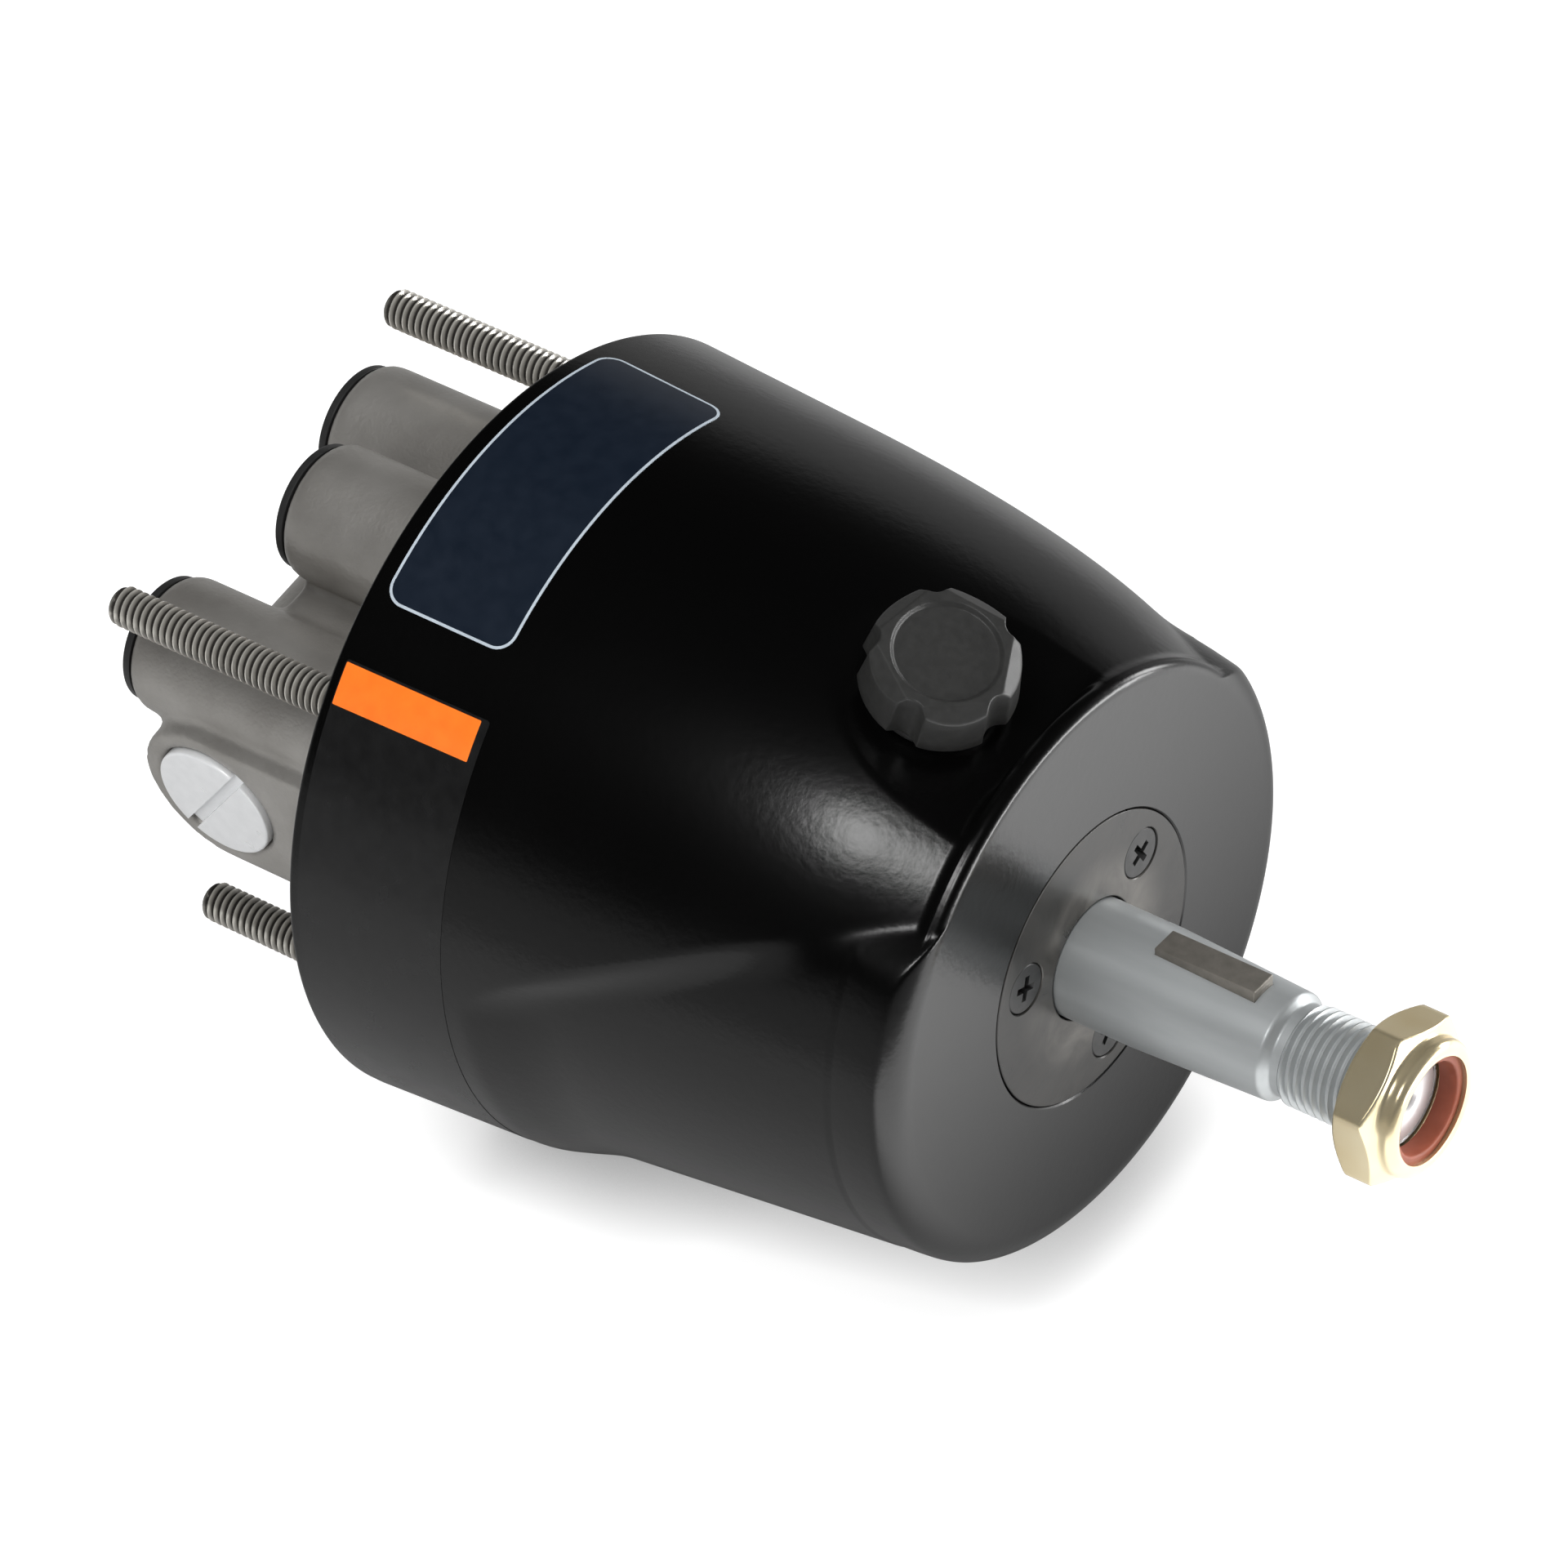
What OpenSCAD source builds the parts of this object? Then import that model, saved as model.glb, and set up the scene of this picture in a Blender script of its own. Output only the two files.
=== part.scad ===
// Hydraulic helm pump: an axial piston pump that a steering wheel turns, in millimetres.
// The origin is the centre of the mounting face. The shaft points along -Y and the filler cap is up, along +Z.

/* [Housing] */
// Diameter of the rear rim, which is also the mounting face
rim_d = 122; // [118:1:130]
// Length from the mounting face to the front face
body_len = 102.5; // [102:0.5:112]
// Taper of the band and of the hood's rear end, degrees a side
body_taper = 3.4; // [3:0.1:3.8]
// Taper of the recessed lower body, degrees a side
drum_taper = 6.1; // [5.6:0.1:6.6]
// Length of the full band at the rear
band_len = 31; // [27:1:34]
// Length of the ramp from the band down to the recessed lower body
ramp_len = 10; // [6:1:14]
// Depth of the lower recess, measured at the band's front edge
recess = 2.3; // [1.5:0.1:3]
// Radius of the round bead at the front edge
bead_r = 2.6; // [1.6:0.1:3.4]
// Radius of the rear rim's edge
rim_edge_r = 0.8; // [0.4:0.1:1.5]
// Thickness of the housing's wall over the oil reservoir
wall = 6; // [4:0.5:7]
// Thickness of the front wall
front_wall = 8.5; // [7:0.5:10]

/* [Hood] */
// Distance from the front face to the knee, where the lines of the hood's rear end and its nose meet
nose_len = 39.6; // [36:0.2:43]
// Length of the knee's rounding in front of the knee
knee_front = 13; // [9:0.5:17]
// Distance from the band's front edge to the start of the knee's rounding
knee_start = 1; // [0.5:0.5:6]
// How far the hood's flat flanks stand out from the rim's radius
flank_out = 5.8; // [5:0.2:7]
// Turn of the flanks towards the front, degrees
flank_yaw = 20.7; // [19:0.3:22]

/* [Filler] */
// Tilt of the filler pad towards the front, degrees
pad_tilt = 22; // [16:0.5:24]
// Depth of the pad below the line of the hood's rear end at the cap's centre
pad_drop = 7; // [6.4:0.1:7.8]
// Distance of the cap's centre behind the front face
cap_back = 19.5; // [18:0.5:24]
// Diameter of the cap over its lobes
cap_d = 24; // [20:0.5:26]
// Height of the cap's lobed head
cap_h = 9; // [8:0.2:12]
// Height of the neck between the pad and the head
neck_h = 3.2; // [2.9:0.1:4]
// Number of lobes on the cap
cap_lobes = 5; // [4:1:7]
// Turn of the first lobe, degrees
cap_turn = 8; // [0:1:71]
// Diameter of the cap's threaded stem
stem_d = 14; // [11:0.5:14.5]
// Length of the stem below the cap
stem_len = 9; // [7:0.5:11]
// Radial clearance of the stem in its hole
stem_gap = 0.3; // [0.2:0.05:0.5]

/* [Shaft] */
// Diameter of the shaft at the seal
shaft_d = 19.05; // [18:0.05:20]
// Distance of the taper's start in front of the face
taper_start = 11.7; // [10:0.1:16]
// Length of the wheel taper
taper_len = 23.8; // [20:0.2:28]
// Taper ratio, length for each unit of diameter
taper_ratio = 12; // [10:1:16]
// Diameter of the nut's thread
thread_d = 15.875; // [14:0.125:16]
// Length of the threaded end
thread_len = 18; // [16:0.5:22]
// Length of the neck between the taper and the thread
neck_len = 2.7; // [2:0.1:4]
// Width of the wheel key
key_w = 4.76; // [4:0.02:5]
// Length of the wheel key
key_len = 17.8; // [14:0.2:19]
// Height of the key's top above the shaft's axis
key_top = 10.35; // [10.2:0.05:10.8]
// Turn of the key from the top, degrees
key_turn = -9.5; // [-45:0.5:45]

/* [Wheel nut] */
// Width of the nut across its flats
nut_af = 23.81; // [22:0.01:26]
// Height of the nut's hexagon
nut_hex_h = 6.6; // [6:0.1:9]
// Height of the collar that holds the insert
nut_collar_h = 3.2; // [2.5:0.1:4]
// Distance of the nut's rear face behind the shaft's end
nut_on = 5.2; // [4:0.1:6.4]
// Turn of the nut's hexagon, degrees
nut_turn = 30; // [0:1:59]

/* [Retainer and seal] */
// Diameter of the retainer plate
plate_d = 47; // [44:0.5:50]
// Thickness of the retainer plate
plate_t = 4.5; // [3.5:0.25:5]
// Number of the retainer's screws
plate_screws = 3; // [3:1:6]
// Diameter of the retainer screws' circle
plate_pcd = 34; // [33.5:0.25:35]
// Head diameter of the retainer screws
plate_head_d = 8; // [7:0.25:8.5]
// Thread diameter of the retainer screws
plate_screw_d = 4; // [3:0.25:4]
// Outer diameter of the shaft seal
seal_d = 27; // [25:0.5:28]
// Width of the shaft seal
seal_w = 6; // [5:0.5:7]

/* [Bearing] */
// Diameter of the shaft in the bearing
bearing_bore = 20; // [19.5:0.1:21]
// Outer diameter of the bearing
bearing_od = 37; // [36:0.5:38]
// Width of the bearing
bearing_w = 9; // [8:0.5:10]
// Diameter of the bearing's balls
ball_d = 6; // [5.5:0.1:6.4]
// Number of balls
ball_count = 9; // [7:1:10]

/* [Pump] */
// Diameter of a piston
piston_d = 16; // [14:0.25:16.5]
// Diameter of the pistons' circle
piston_pcd = 46; // [45:0.5:48]
// Angle of the swash plate, degrees
swash_angle = 19.5; // [16:0.5:20]
// Thickness of the swash plate on the shaft's axis, behind the bearing's boss
swash_t = 10.3; // [8:0.1:13]
// Thickness of the thrust race on the swash plate
race_t = 4; // [3:0.25:5]
// Thickness of the valve plate
valve_plate_t = 5; // [4:0.25:6]
// Width of the hexagon that drives the rotor
drive_af = 14; // [12:0.25:15]

/* [Rear casting] */
// Thickness of the casting's flange
flange_t = 12; // [10:0.5:14]
// Diameter of the port bosses
boss_d = 22; // [20:0.5:24]
// Sideways place of the two steering ports
port_x = 24.5; // [23:0.25:25.5]
// Height of the two steering ports above the shaft
port_y = 14.7; // [13:0.1:16]
// Length of the steering port bosses behind the mounting face
port_len = 50; // [46:0.5:54]
// Height of the reservoir port above the shaft
vent_y = 27.6; // [26.5:0.1:29]
// Length of the reservoir port's boss behind the mounting face
vent_len = 36; // [32:0.5:40]
// Bore diameter of the three ports
port_bore = 13.7; // [12:0.1:14.5]
// Radius of the lock valve's cross block
block_r = 13.7; // [13:0.1:14.5]
// Distance of the cross block's axis behind the mounting face
block_back = 34.7; // [32:0.1:36]
// Height of the cross block's axis
block_y = -0.5; // [-1.5:0.1:0.5]
// Half width of the cross block
block_half = 38; // [37:0.25:39]
// Diameter of the lock valve's plugs
plug_d = 20.5; // [19:0.25:22]

/* [Studs] */
// Thread diameter of the mounting studs
stud_d = 6.35; // [6:0.05:8]
// Diameter of the studs' circle
stud_pcd = 97; // [96:0.5:100]
// Length of the studs behind the mounting face
stud_out = 47.3; // [40:0.1:60]
// Depth of the studs in the housing
stud_in = 20; // [15:0.5:22]

/* [Hidden] */

$fn = 96;
// A cut runs past the solid by this much, so that no skin is left
over = 1;
// Clearance of a turned piece in its seat
fit = 0.15;
// Radial clearance of a running or sliding fit
run_fit = 0.05;
// Clearance between pieces that move past each other
gap = 0.3;
// Points on each rounded edge of a profile
arc_steps = 6;

// Outer form
rim_r = rim_d / 2;
function hood_r(d) = rim_r - d * tan(body_taper);
function drum_r(d) = hood_r(band_len) - recess - (d - band_len) * tan(drum_taper);
bead_z = body_len - bead_r;
bead_rear = bead_z - bead_r;
ring_r = drum_r(bead_z);
foot_r = ring_r - bead_r;
knee_z = body_len - nose_len;
nose_start = knee_z + knee_front;
nose_tuck = 0.5;
function nose_r(d) = hood_r(knee_z) - (d - knee_z) * (hood_r(knee_z) - foot_r) / (bead_rear - knee_z);
flank_dist = rim_r + flank_out;
far = 4 * rim_d;

// Filler pad and cap, seen from the pad's centre
pad_z = body_len - cap_back;
pad_y = hood_r(pad_z) - pad_drop;
cap_r = cap_d / 2;
stem_r = stem_d / 2;
filler_hole_r = stem_r + stem_gap;
seal_wire_r = 1.1;
cap_seal_r = filler_hole_r + seal_wire_r + gap;
cap_top = neck_h + cap_h;
lobe_notch_r = cap_r * 0.3;
facet_r = cap_r * 0.76;
dish_r = cap_r * 0.66;
dish_depth = 0.7;

// Pistons and rotor across the shaft
piston_r = piston_d / 2;
piston_circle_r = piston_pcd / 2;
rotor_wall = 2.4;
piston_count = 7;
piston_angles = [for (i = [0:piston_count - 1]) 90 + 360 * i / piston_count];
rotor_r = piston_circle_r + piston_r + rotor_wall;

// Chamber and the front end
oil_gap = 6;
chamber_r = rotor_r + oil_gap;
chamber_end = body_len - front_wall;
bearing_r = bearing_od / 2;
seal_r = seal_d / 2;
recess_z = body_len - plate_t;
seal_z = recess_z - seal_w;
bearing_lip = 1.6;
bearing_front = seal_z - bearing_lip;
bearing_rear = bearing_front - bearing_w;
clip_t = 1.2;
clip_lip = 0.8;
clip_rear = bearing_rear - clip_t;
nose_boss_wall = 4;
nose_boss_r = bearing_r + nose_boss_wall;
nose_boss_rear = clip_rear - clip_lip;
swash_r = chamber_r - fit;
swash_flat_y = chamber_r - oil_gap;
swash_pin_r = 2;
swash_pin_in = 4;
swash_pin_circle_r = (nose_boss_r + swash_r) / 2;
ball_r = ball_d / 2;
ball_angles = [for (i = [0:ball_count - 1]) 360 * i / ball_count];
cage_edge = 1;
ball_pitch_r = (bearing_r + bearing_bore / 2) / 2;
ball_gap = 0.12;
race_shoulder = ball_r * 0.55;
cage_half = ball_r * 0.32;
ball_z = (bearing_front + bearing_rear) / 2;

// Stack of the pump from the rear forward
plate_rear = flange_t;
rotor_rear = plate_rear + valve_plate_t + run_fit;
swash_gap = 1;
swash_back_z = nose_boss_rear - swash_t;
swash_z = swash_back_z - race_t / cos(swash_angle);
rotor_front = swash_z - rotor_r * tan(swash_angle) - swash_gap;
rotor_len = rotor_front - rotor_rear;
race_outer_r = rotor_r;
race_inner_r = 14;
rotor_floor = 4;
bore_floor = rotor_rear + rotor_floor;
// Height of a piston's tip centre when the swash plate has pushed it right in
tip_z = swash_z - piston_circle_r * tan(swash_angle) - piston_r / cos(swash_angle) - gap;
tail_gap = 1;
piston_wall = 2.4;
piston_crown = 2;
piston_tail = bore_floor + tail_gap;
piston_bore_r = piston_r - piston_wall;
piston_bore_top = tip_z - piston_crown;
spring_wire_r = 0.7;
spring_r = piston_bore_r - spring_wire_r - gap;
spring_turns = 5;
spring_sides = 6;
spring_steps = 10;

// Casting screws sit just outside the rotor
screw_d = 5;
screw_head_d = 8.5;
screw_head_h = 5;
screw_len = 16;
screw_boss_wall = 1.8;
screw_boss_r = screw_d / 2 + screw_boss_wall;
screw_circle_r = rotor_r + gap + screw_boss_r;
screw_angles = [60, 120, 240, 300];
screw_tip = 3;
stud_angles = [45, 135, 225, 315];
stud_end_gap = 1;
// Studs are drawn at the thread's root inside the housing
stud_root = 0.6;
stud_tap_r = stud_d / 2 - stud_root;
plate_angles = [for (i = [0:plate_screws - 1]) 30 + 360 * i / plate_screws];
flange_r = screw_circle_r + screw_head_d / 2;
seat_seal_r = 1.5;

// Shaft stations, forward from the mounting face
shaft_r = shaft_d / 2;
taper_z = body_len + taper_start;
taper_end = taper_z + taper_len;
taper_end_r = shaft_r - taper_len / taper_ratio / 2;
thread_r = thread_d / 2;
thread_z = taper_end + neck_len;
shaft_end = thread_z + thread_len;
neck_cut = 0.6;
neck_r = thread_r - neck_cut;
end_chamfer = 1;
centre_r = 2.5;
centre_depth = 4;
collar_out = 2;
collar_len = 4;
collar_r = bearing_bore / 2 + collar_out;
collar_z = bearing_rear - collar_len;
drive_neck = 1.6;
drive_end_r = drive_af / 2 - drive_neck;
drive_pilot = 6;
drive_tail = plate_rear - drive_pilot;
drive_shoulder = 1;
key_start = 1.7;
key_z = taper_z + key_start;
key_floor = key_top - key_w;
nut_z = shaft_end - nut_on;
nut_front = nut_z + nut_hex_h + nut_collar_h;
nut_bevel = 0.4;
nut_round_r = nut_af / 2 - nut_bevel;
insert_wall = 1.6;
insert_gap = 0.4;
insert_lip = 1;
insert_r = thread_r + insert_wall;
insert_rear = shaft_end + insert_gap;

// Lock valve in the cross block, stations outward from the middle
block_z = -block_back;
spool_r = 6;
spool_half = 9;
spool_rod_r = 1.5;
spool_rod_len = 2.6;
spool_stroke = 1.2;
check_bore_r = 8;
pump_room = 5;
seat_in = spool_half + pump_room;
seat_t = 4;
seat_hole_r = 3;
seat_out = seat_in + seat_t;
poppet_gap = 2;
poppet_r = check_bore_r - poppet_gap;
poppet_len = 6;
poppet_ledge = 2.4;
poppet_guide_r = poppet_r - poppet_ledge;
check_travel = 1.5;
plug_r = plug_d / 2;
plug_head_t = 4;
plug_body = 5;
plug_in = block_half - plug_head_t - plug_body;
plug_seal_wire = 1.2;
check_wire_r = 0.5;
check_turns = 4;
poppet_head_t = 2.5;
port_depth = 15;
passage_r = 2.5;
valve_edge = 0.5;
valve_r = rotor_r - valve_edge;
kidney_span = 126;
kidney_half = 3;
valve_pin_r = 1.5;
valve_pin_in = 4;
valve_pin_edge = 3;
valve_pin_circle_r = valve_r - valve_pin_edge;
port_head_lap = 3.2;
port_head_t = 1.4;
port_stem = 10;

function arc(cx, cy, r, a0, a1) =
    [for (i = [0:arc_steps]) let (a = a0 + (a1 - a0) * i / arc_steps) [cx + r * cos(a), cy + r * sin(a)]];
function curve(p0, p1, p2) =
    [for (i = [0:arc_steps]) let (t = i / arc_steps)
        p0 * (1 - t) * (1 - t) + p1 * 2 * t * (1 - t) + p2 * t * t];

// Local frame of the pump: x to the right, y up, z forward along the shaft
module pump_frame() {
    rotate([90, 0, 0])
        children();
}

// Local frame of the filler: the pad's centre, with z along the pad's normal
module pad_frame() {
    translate([0, pad_y, pad_z])
        rotate([pad_tilt - 90, 0, 0])
            children();
}

// Local frame of the lock valve: the cross block's centre, with z along the bore to one side
module valve_frame(side) {
    translate([0, block_y, block_z])
        rotate([0, side * 90, 0])
            children();
}

// Places a child at each angle of a circle
module around(angles, r) {
    for (a = angles)
        rotate([0, 0, a])
            translate([r, 0, 0])
                children();
}

// Straight cylinder between two heights
module rod(r, z0, z1) {
    translate([0, 0, z0])
        cylinder(r = r, h = z1 - z0);
}

// Ring between two heights
module ring(r_out, r_in, z0, z1) {
    difference() {
        rod(r_out, z0, z1);
        rod(r_in, z0 - over, z1 + over);
    }
}

// Round ring of wire, such as a seal
module wire_ring(r, wire_r) {
    rotate_extrude()
        translate([r, 0])
            circle(r = wire_r, $fn = 32);
}

// Coil spring along z, as one swept tube
module coil(r, wire_r, z0, z1, turns) {
    steps = turns * spring_steps;
    rise = (z1 - z0 - 2 * wire_r) / steps;
    points = [for (i = [0:steps], k = [0:spring_sides - 1])
        let (a = 360 * i / spring_steps, b = 360 * k / spring_sides, q = r + wire_r * cos(b))
        [q * cos(a), q * sin(a), z0 + wire_r + rise * i + wire_r * sin(b)]];
    sides = [for (i = [0:steps - 1], k = [0:spring_sides - 1])
        let (m = (k + 1) % spring_sides, low = i * spring_sides, top = low + spring_sides)
        [low + k, top + k, top + m, low + m]];
    first = [for (k = [0:spring_sides - 1]) k];
    last = [for (k = [spring_sides - 1:-1:0]) steps * spring_sides + k];
    polyhedron(points, concat(sides, [first, last]), convexity = 10);
}

// Hood with its straight rear end, round knee and nose, as one turned solid
module hood_form() {
    rear_z = band_len / 2;
    start_z = band_len + knee_start;
    rotate_extrude()
        polygon(concat(
            [[0, rear_z], [hood_r(rear_z), rear_z]],
            curve([hood_r(start_z), start_z], [hood_r(knee_z), knee_z], [nose_r(nose_start), nose_start]),
            [[foot_r, bead_rear], [foot_r, bead_z], [0, bead_z]]));
}

// What is taken off the drum round the nose, up to the back of the front bead
module nose_waste() {
    rotate_extrude()
        polygon(concat(
            [[nose_r(nose_start) - nose_tuck, nose_start], [foot_r - nose_tuck, bead_rear]],
            arc(foot_r, bead_z, bead_r, -90, 0),
            [[rim_r, bead_z], [rim_r, nose_start]]));
}

// Band, ramp, recessed body and front bead, as one turned solid
module drum() {
    ramp_end = band_len + ramp_len;
    rotate_extrude()
        polygon(concat(
            [[0, 0]],
            arc(rim_r - rim_edge_r, rim_edge_r, rim_edge_r, -90, 0),
            [[hood_r(band_len), band_len], [drum_r(ramp_end), ramp_end]],
            arc(ring_r - bead_r, bead_z, bead_r, 0, 90),
            [[0, body_len]]));
}

// Keeps what lies above the axis and between the two flat flanks of the hood
module hood_part() {
    difference() {
        children();
        beyond_flank(1);
        beyond_flank(-1);
        translate([-far / 2, -far, -far / 2])
            cube(far);
    }
}

// Everything outside one flat flank of the hood
module beyond_flank(side) {
    mirror([side < 0 ? 1 : 0, 0, 0])
        rotate([0, -flank_yaw, 0])
            translate([flank_dist, -far / 2, -far / 2])
                cube(far);
}

// Everything above the filler pad, behind the front bead
module above_pad(raise) {
    intersection() {
        pad_frame()
            translate([-far / 2, -far / 2, raise])
                cube(far);
        translate([-far / 2, 0, -over])
            cube([far, far, bead_rear + over]);
    }
}

// Upper oil space under the hood
module reservoir() {
    low = band_len + wall;
    high = (knee_z + chamber_end) / 2;
    difference() {
        intersection() {
            rotate_extrude()
                polygon([[0, low], [drum_r(low) - wall, low], [drum_r(high) - wall, high], [0, high]]);
            translate([-far / 2, chamber_r / 3, 0])
                cube(far);
        }
        above_pad(-wall);
    }
}

// Oil chamber, casting seat, bearing seat, seal seat and plate recess
module housing_bores() {
    rod(flange_r + fit, -over, flange_t);
    difference() {
        rod(chamber_r, flange_t - over, chamber_end);
        rod(nose_boss_r, nose_boss_rear, chamber_end + over);
        around(screw_angles, screw_circle_r)
            rod(screw_boss_r, flange_t, flange_t + screw_len);
        difference() {
            around(screw_angles, chamber_r)
                rod(screw_boss_r, flange_t, flange_t + screw_len);
            rod(rotor_r + gap, flange_t - over, flange_t + screw_len + over);
        }
    }
    rod(bearing_r, nose_boss_rear - over, bearing_front);
    rod(bearing_r + clip_lip, clip_rear, bearing_rear);
    rod(seal_r, bearing_front - over, recess_z + over);
    rod(plate_d / 2 + fit, recess_z, body_len + over);
    around(plate_angles, plate_pcd / 2)
        rod(plate_screw_d / 2 + run_fit, seal_z, recess_z + over);
    around(screw_angles, screw_circle_r)
        rod(screw_d / 2 + run_fit, flange_t - over, flange_t + screw_len - screw_tip + over);
    around(stud_angles, stud_pcd / 2)
        rod(stud_tap_r + run_fit, -over, stud_in);
    around(stud_angles, stud_pcd / 2)
        rod(stud_d / 2 + run_fit, -over, stud_root);
    around([0, 180], swash_pin_circle_r)
        rod(swash_pin_r + run_fit, chamber_end - over, chamber_end + swash_pin_in);
}

module front_housing() {
    color("#141415")
        pump_frame()
            difference() {
                union() {
                    difference() {
                        drum();
                        hood_part()
                            nose_waste();
                    }
                    hood_part()
                        hood_form();
                }
                above_pad(0);
                housing_bores();
                reservoir();
                pad_frame()
                    rod(filler_hole_r, chamber_r - pad_y - oil_gap, over);
            }
}

// Round boss of the rear casting with a softened end
module port_boss(x, y, len) {
    edge = 2;
    translate([x, y, 0])
        rotate([180, 0, 0])
            rotate_extrude()
                polygon(concat(
                    [[0, -over], [boss_d / 2, -over]],
                    arc(boss_d / 2 - edge, len - edge, edge, 0, 90),
                    [[0, len]]));
}

// Port bore with its plug's seat, from a boss's end inwards
module port_hole(x, y, len, depth) {
    translate([x, y, -len])
        rod(port_bore / 2, -over, depth);
}

module rear_casting() {
    web_top = port_y + boss_d / 4;
    web_low = block_y;
    color("#a8a59f")
        pump_frame()
            difference() {
                union() {
                    rod(flange_r, 0, flange_t);
                    port_boss(port_x, port_y, port_len);
                    port_boss(-port_x, port_y, port_len);
                    port_boss(0, vent_y, vent_len);
                    translate([-block_half, 0, 0])
                        rotate([90, 0, 90])
                            linear_extrude(2 * block_half)
                                union() {
                                    translate([block_y, block_z])
                                        circle(r = block_r);
                                    translate([block_y - block_r, block_z])
                                        square([2 * block_r, block_back + over]);
                                }
                    translate([-port_x, web_low, block_z])
                        cube([2 * port_x, web_top - web_low, block_back + over]);
                    translate([-boss_d / 4, port_y, block_z])
                        cube([boss_d / 2, vent_y - port_y, block_back + over]);
                }
                port_hole(port_x, port_y, port_len, port_depth + passage_r);
                port_hole(-port_x, port_y, port_len, port_depth + passage_r);
                port_hole(0, vent_y, vent_len, port_depth);
                vent_passage();
                rod(drive_end_r + drive_shoulder, drive_tail - drive_shoulder, flange_t + over);
                for (side = [-1, 1]) {
                    valve_bores(side);
                    pump_passage(side);
                    translate([side * port_x, block_y, block_z])
                        rotate([-90, 0, 0])
                            rod(passage_r, 0, port_y - block_y);
                }
                around(screw_angles, screw_circle_r)
                    rod(screw_d / 2 + fit, -over, flange_t + over);
                around([90, 270], valve_pin_circle_r)
                    rod(valve_pin_r + run_fit, flange_t - valve_pin_in, flange_t + over);
                translate([0, 0, flange_t / 2])
                    wire_ring(flange_r, seat_seal_r);
            }
}

// Spool bore, check valve bore and plug seat on one side of the cross block
module valve_bores(side) {
    valve_frame(side) {
        rod(spool_r, -over, seat_in + over);
        rod(check_bore_r, seat_in, block_half + over);
        rod(plug_r + fit, block_half - plug_head_t, block_half + over);
    }
}

// Slanted drilling from the valve plate to the space between the spool and a check seat
module pump_passage(side) {
    x_front = piston_circle_r;
    x_rear = (spool_half + seat_in) / 2;
    run = flange_t - block_z;
    translate([side * x_rear, block_y, block_z])
        rotate([0, side * atan((x_front - x_rear) / run), 0])
            rod(passage_r - 0.5, 0, run / cos(atan((x_front - x_rear) / run)) + over);
}

// Slanted drilling from the reservoir port to the oil outside the valve plate
module vent_passage() {
    y_front = valve_r + passage_r + over;
    run = flange_t + vent_len - port_depth;
    turn = atan((y_front - vent_y) / run);
    translate([0, vent_y, port_depth - vent_len - over])
        rotate([-turn, 0, 0])
            rod(passage_r, 0, run / cos(turn) + 2 * over);
}

module casting_seal() {
    color("#1b1b1b")
        pump_frame()
            translate([0, 0, flange_t / 2])
                intersection() {
                    wire_ring(flange_r, seat_seal_r - run_fit);
                    rod(flange_r + fit, -flange_t, flange_t);
                }
}

module casting_screws() {
    color("#8d8f92")
        pump_frame()
            around(screw_angles, screw_circle_r)
                difference() {
                    union() {
                        rod(screw_d / 2, -over, flange_t + screw_len - screw_tip);
                        rod(screw_head_d / 2, -screw_head_h, 0);
                    }
                    translate([0, 0, -screw_head_h - over])
                        cylinder(r = screw_d * 0.46, h = screw_head_h * 0.5 + over, $fn = 6);
                }
}

module mounting_studs() {
    tip = stud_d * 0.14;
    color("#c4c2bd")
        pump_frame()
            around(stud_angles, stud_pcd / 2)
                rotate([180, 0, 0])
                    rotate_extrude()
                        polygon([
                            [0, stud_end_gap - stud_in], [stud_tap_r, stud_end_gap - stud_in],
                            [stud_tap_r, run_fit], [stud_d / 2, run_fit], [stud_d / 2, stud_out - tip],
                            [stud_d / 2 - tip, stud_out], [0, stud_out]]);
}

// Turned form of a countersunk screw with its head's top at z = 0
module countersunk(head_r, shank_r, len, grow) {
    slope = head_r - shank_r;
    rotate_extrude()
        polygon([
            [0, grow], [head_r + grow, grow], [head_r + grow, -0.4],
            [shank_r + grow, -0.4 - slope], [shank_r + grow, -len], [0, -len]]);
}

module retainer_plate() {
    color("#1a1a1b")
        pump_frame()
            difference() {
                rod(plate_d / 2, recess_z, body_len);
                rod(shaft_r + gap, recess_z - over, body_len + over);
                at_plate_screws()
                    countersunk(plate_head_d / 2, plate_screw_d / 2, plate_t + over, run_fit);
            }
}

// Places a child at each retainer screw, at the front face
module at_plate_screws() {
    around(plate_angles, plate_pcd / 2)
        translate([0, 0, body_len])
            children();
}

module retainer_screws() {
    color("#1c1c1d")
        pump_frame()
            at_plate_screws()
                countersunk(plate_head_d / 2, plate_screw_d / 2, plate_t + seal_w - 0.5, 0);
}

module shaft_seal() {
    lip = 1.2;
    color("#101010")
        pump_frame()
            rotate_extrude()
                polygon([
                    [seal_r, seal_z], [seal_r, recess_z], [shaft_r + 1.5, recess_z],
                    [shaft_r + run_fit, recess_z - lip], [shaft_r + run_fit, recess_z - 2 * lip],
                    [shaft_r + 1.5, recess_z - 3 * lip], [seal_r - 1.6, recess_z - lip], [seal_r - 1.6, seal_z]]);
}

// Track that the balls run in
module ball_track() {
    translate([0, 0, ball_z])
        wire_ring(ball_pitch_r, ball_r + ball_gap);
}

module bearing_outer_race() {
    color("#cfd2d6")
        pump_frame()
            difference() {
                ring(bearing_r, ball_pitch_r + race_shoulder, bearing_rear, bearing_front);
                ball_track();
            }
}

module bearing_inner_race() {
    color("#cfd2d6")
        pump_frame()
            difference() {
                ring(ball_pitch_r - race_shoulder, bearing_bore / 2, bearing_rear, bearing_front);
                ball_track();
            }
}

module bearing_balls() {
    color("#e2e4e8")
        pump_frame()
            around(ball_angles, ball_pitch_r)
                translate([0, 0, ball_z])
                    sphere(r = ball_r);
}

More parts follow.
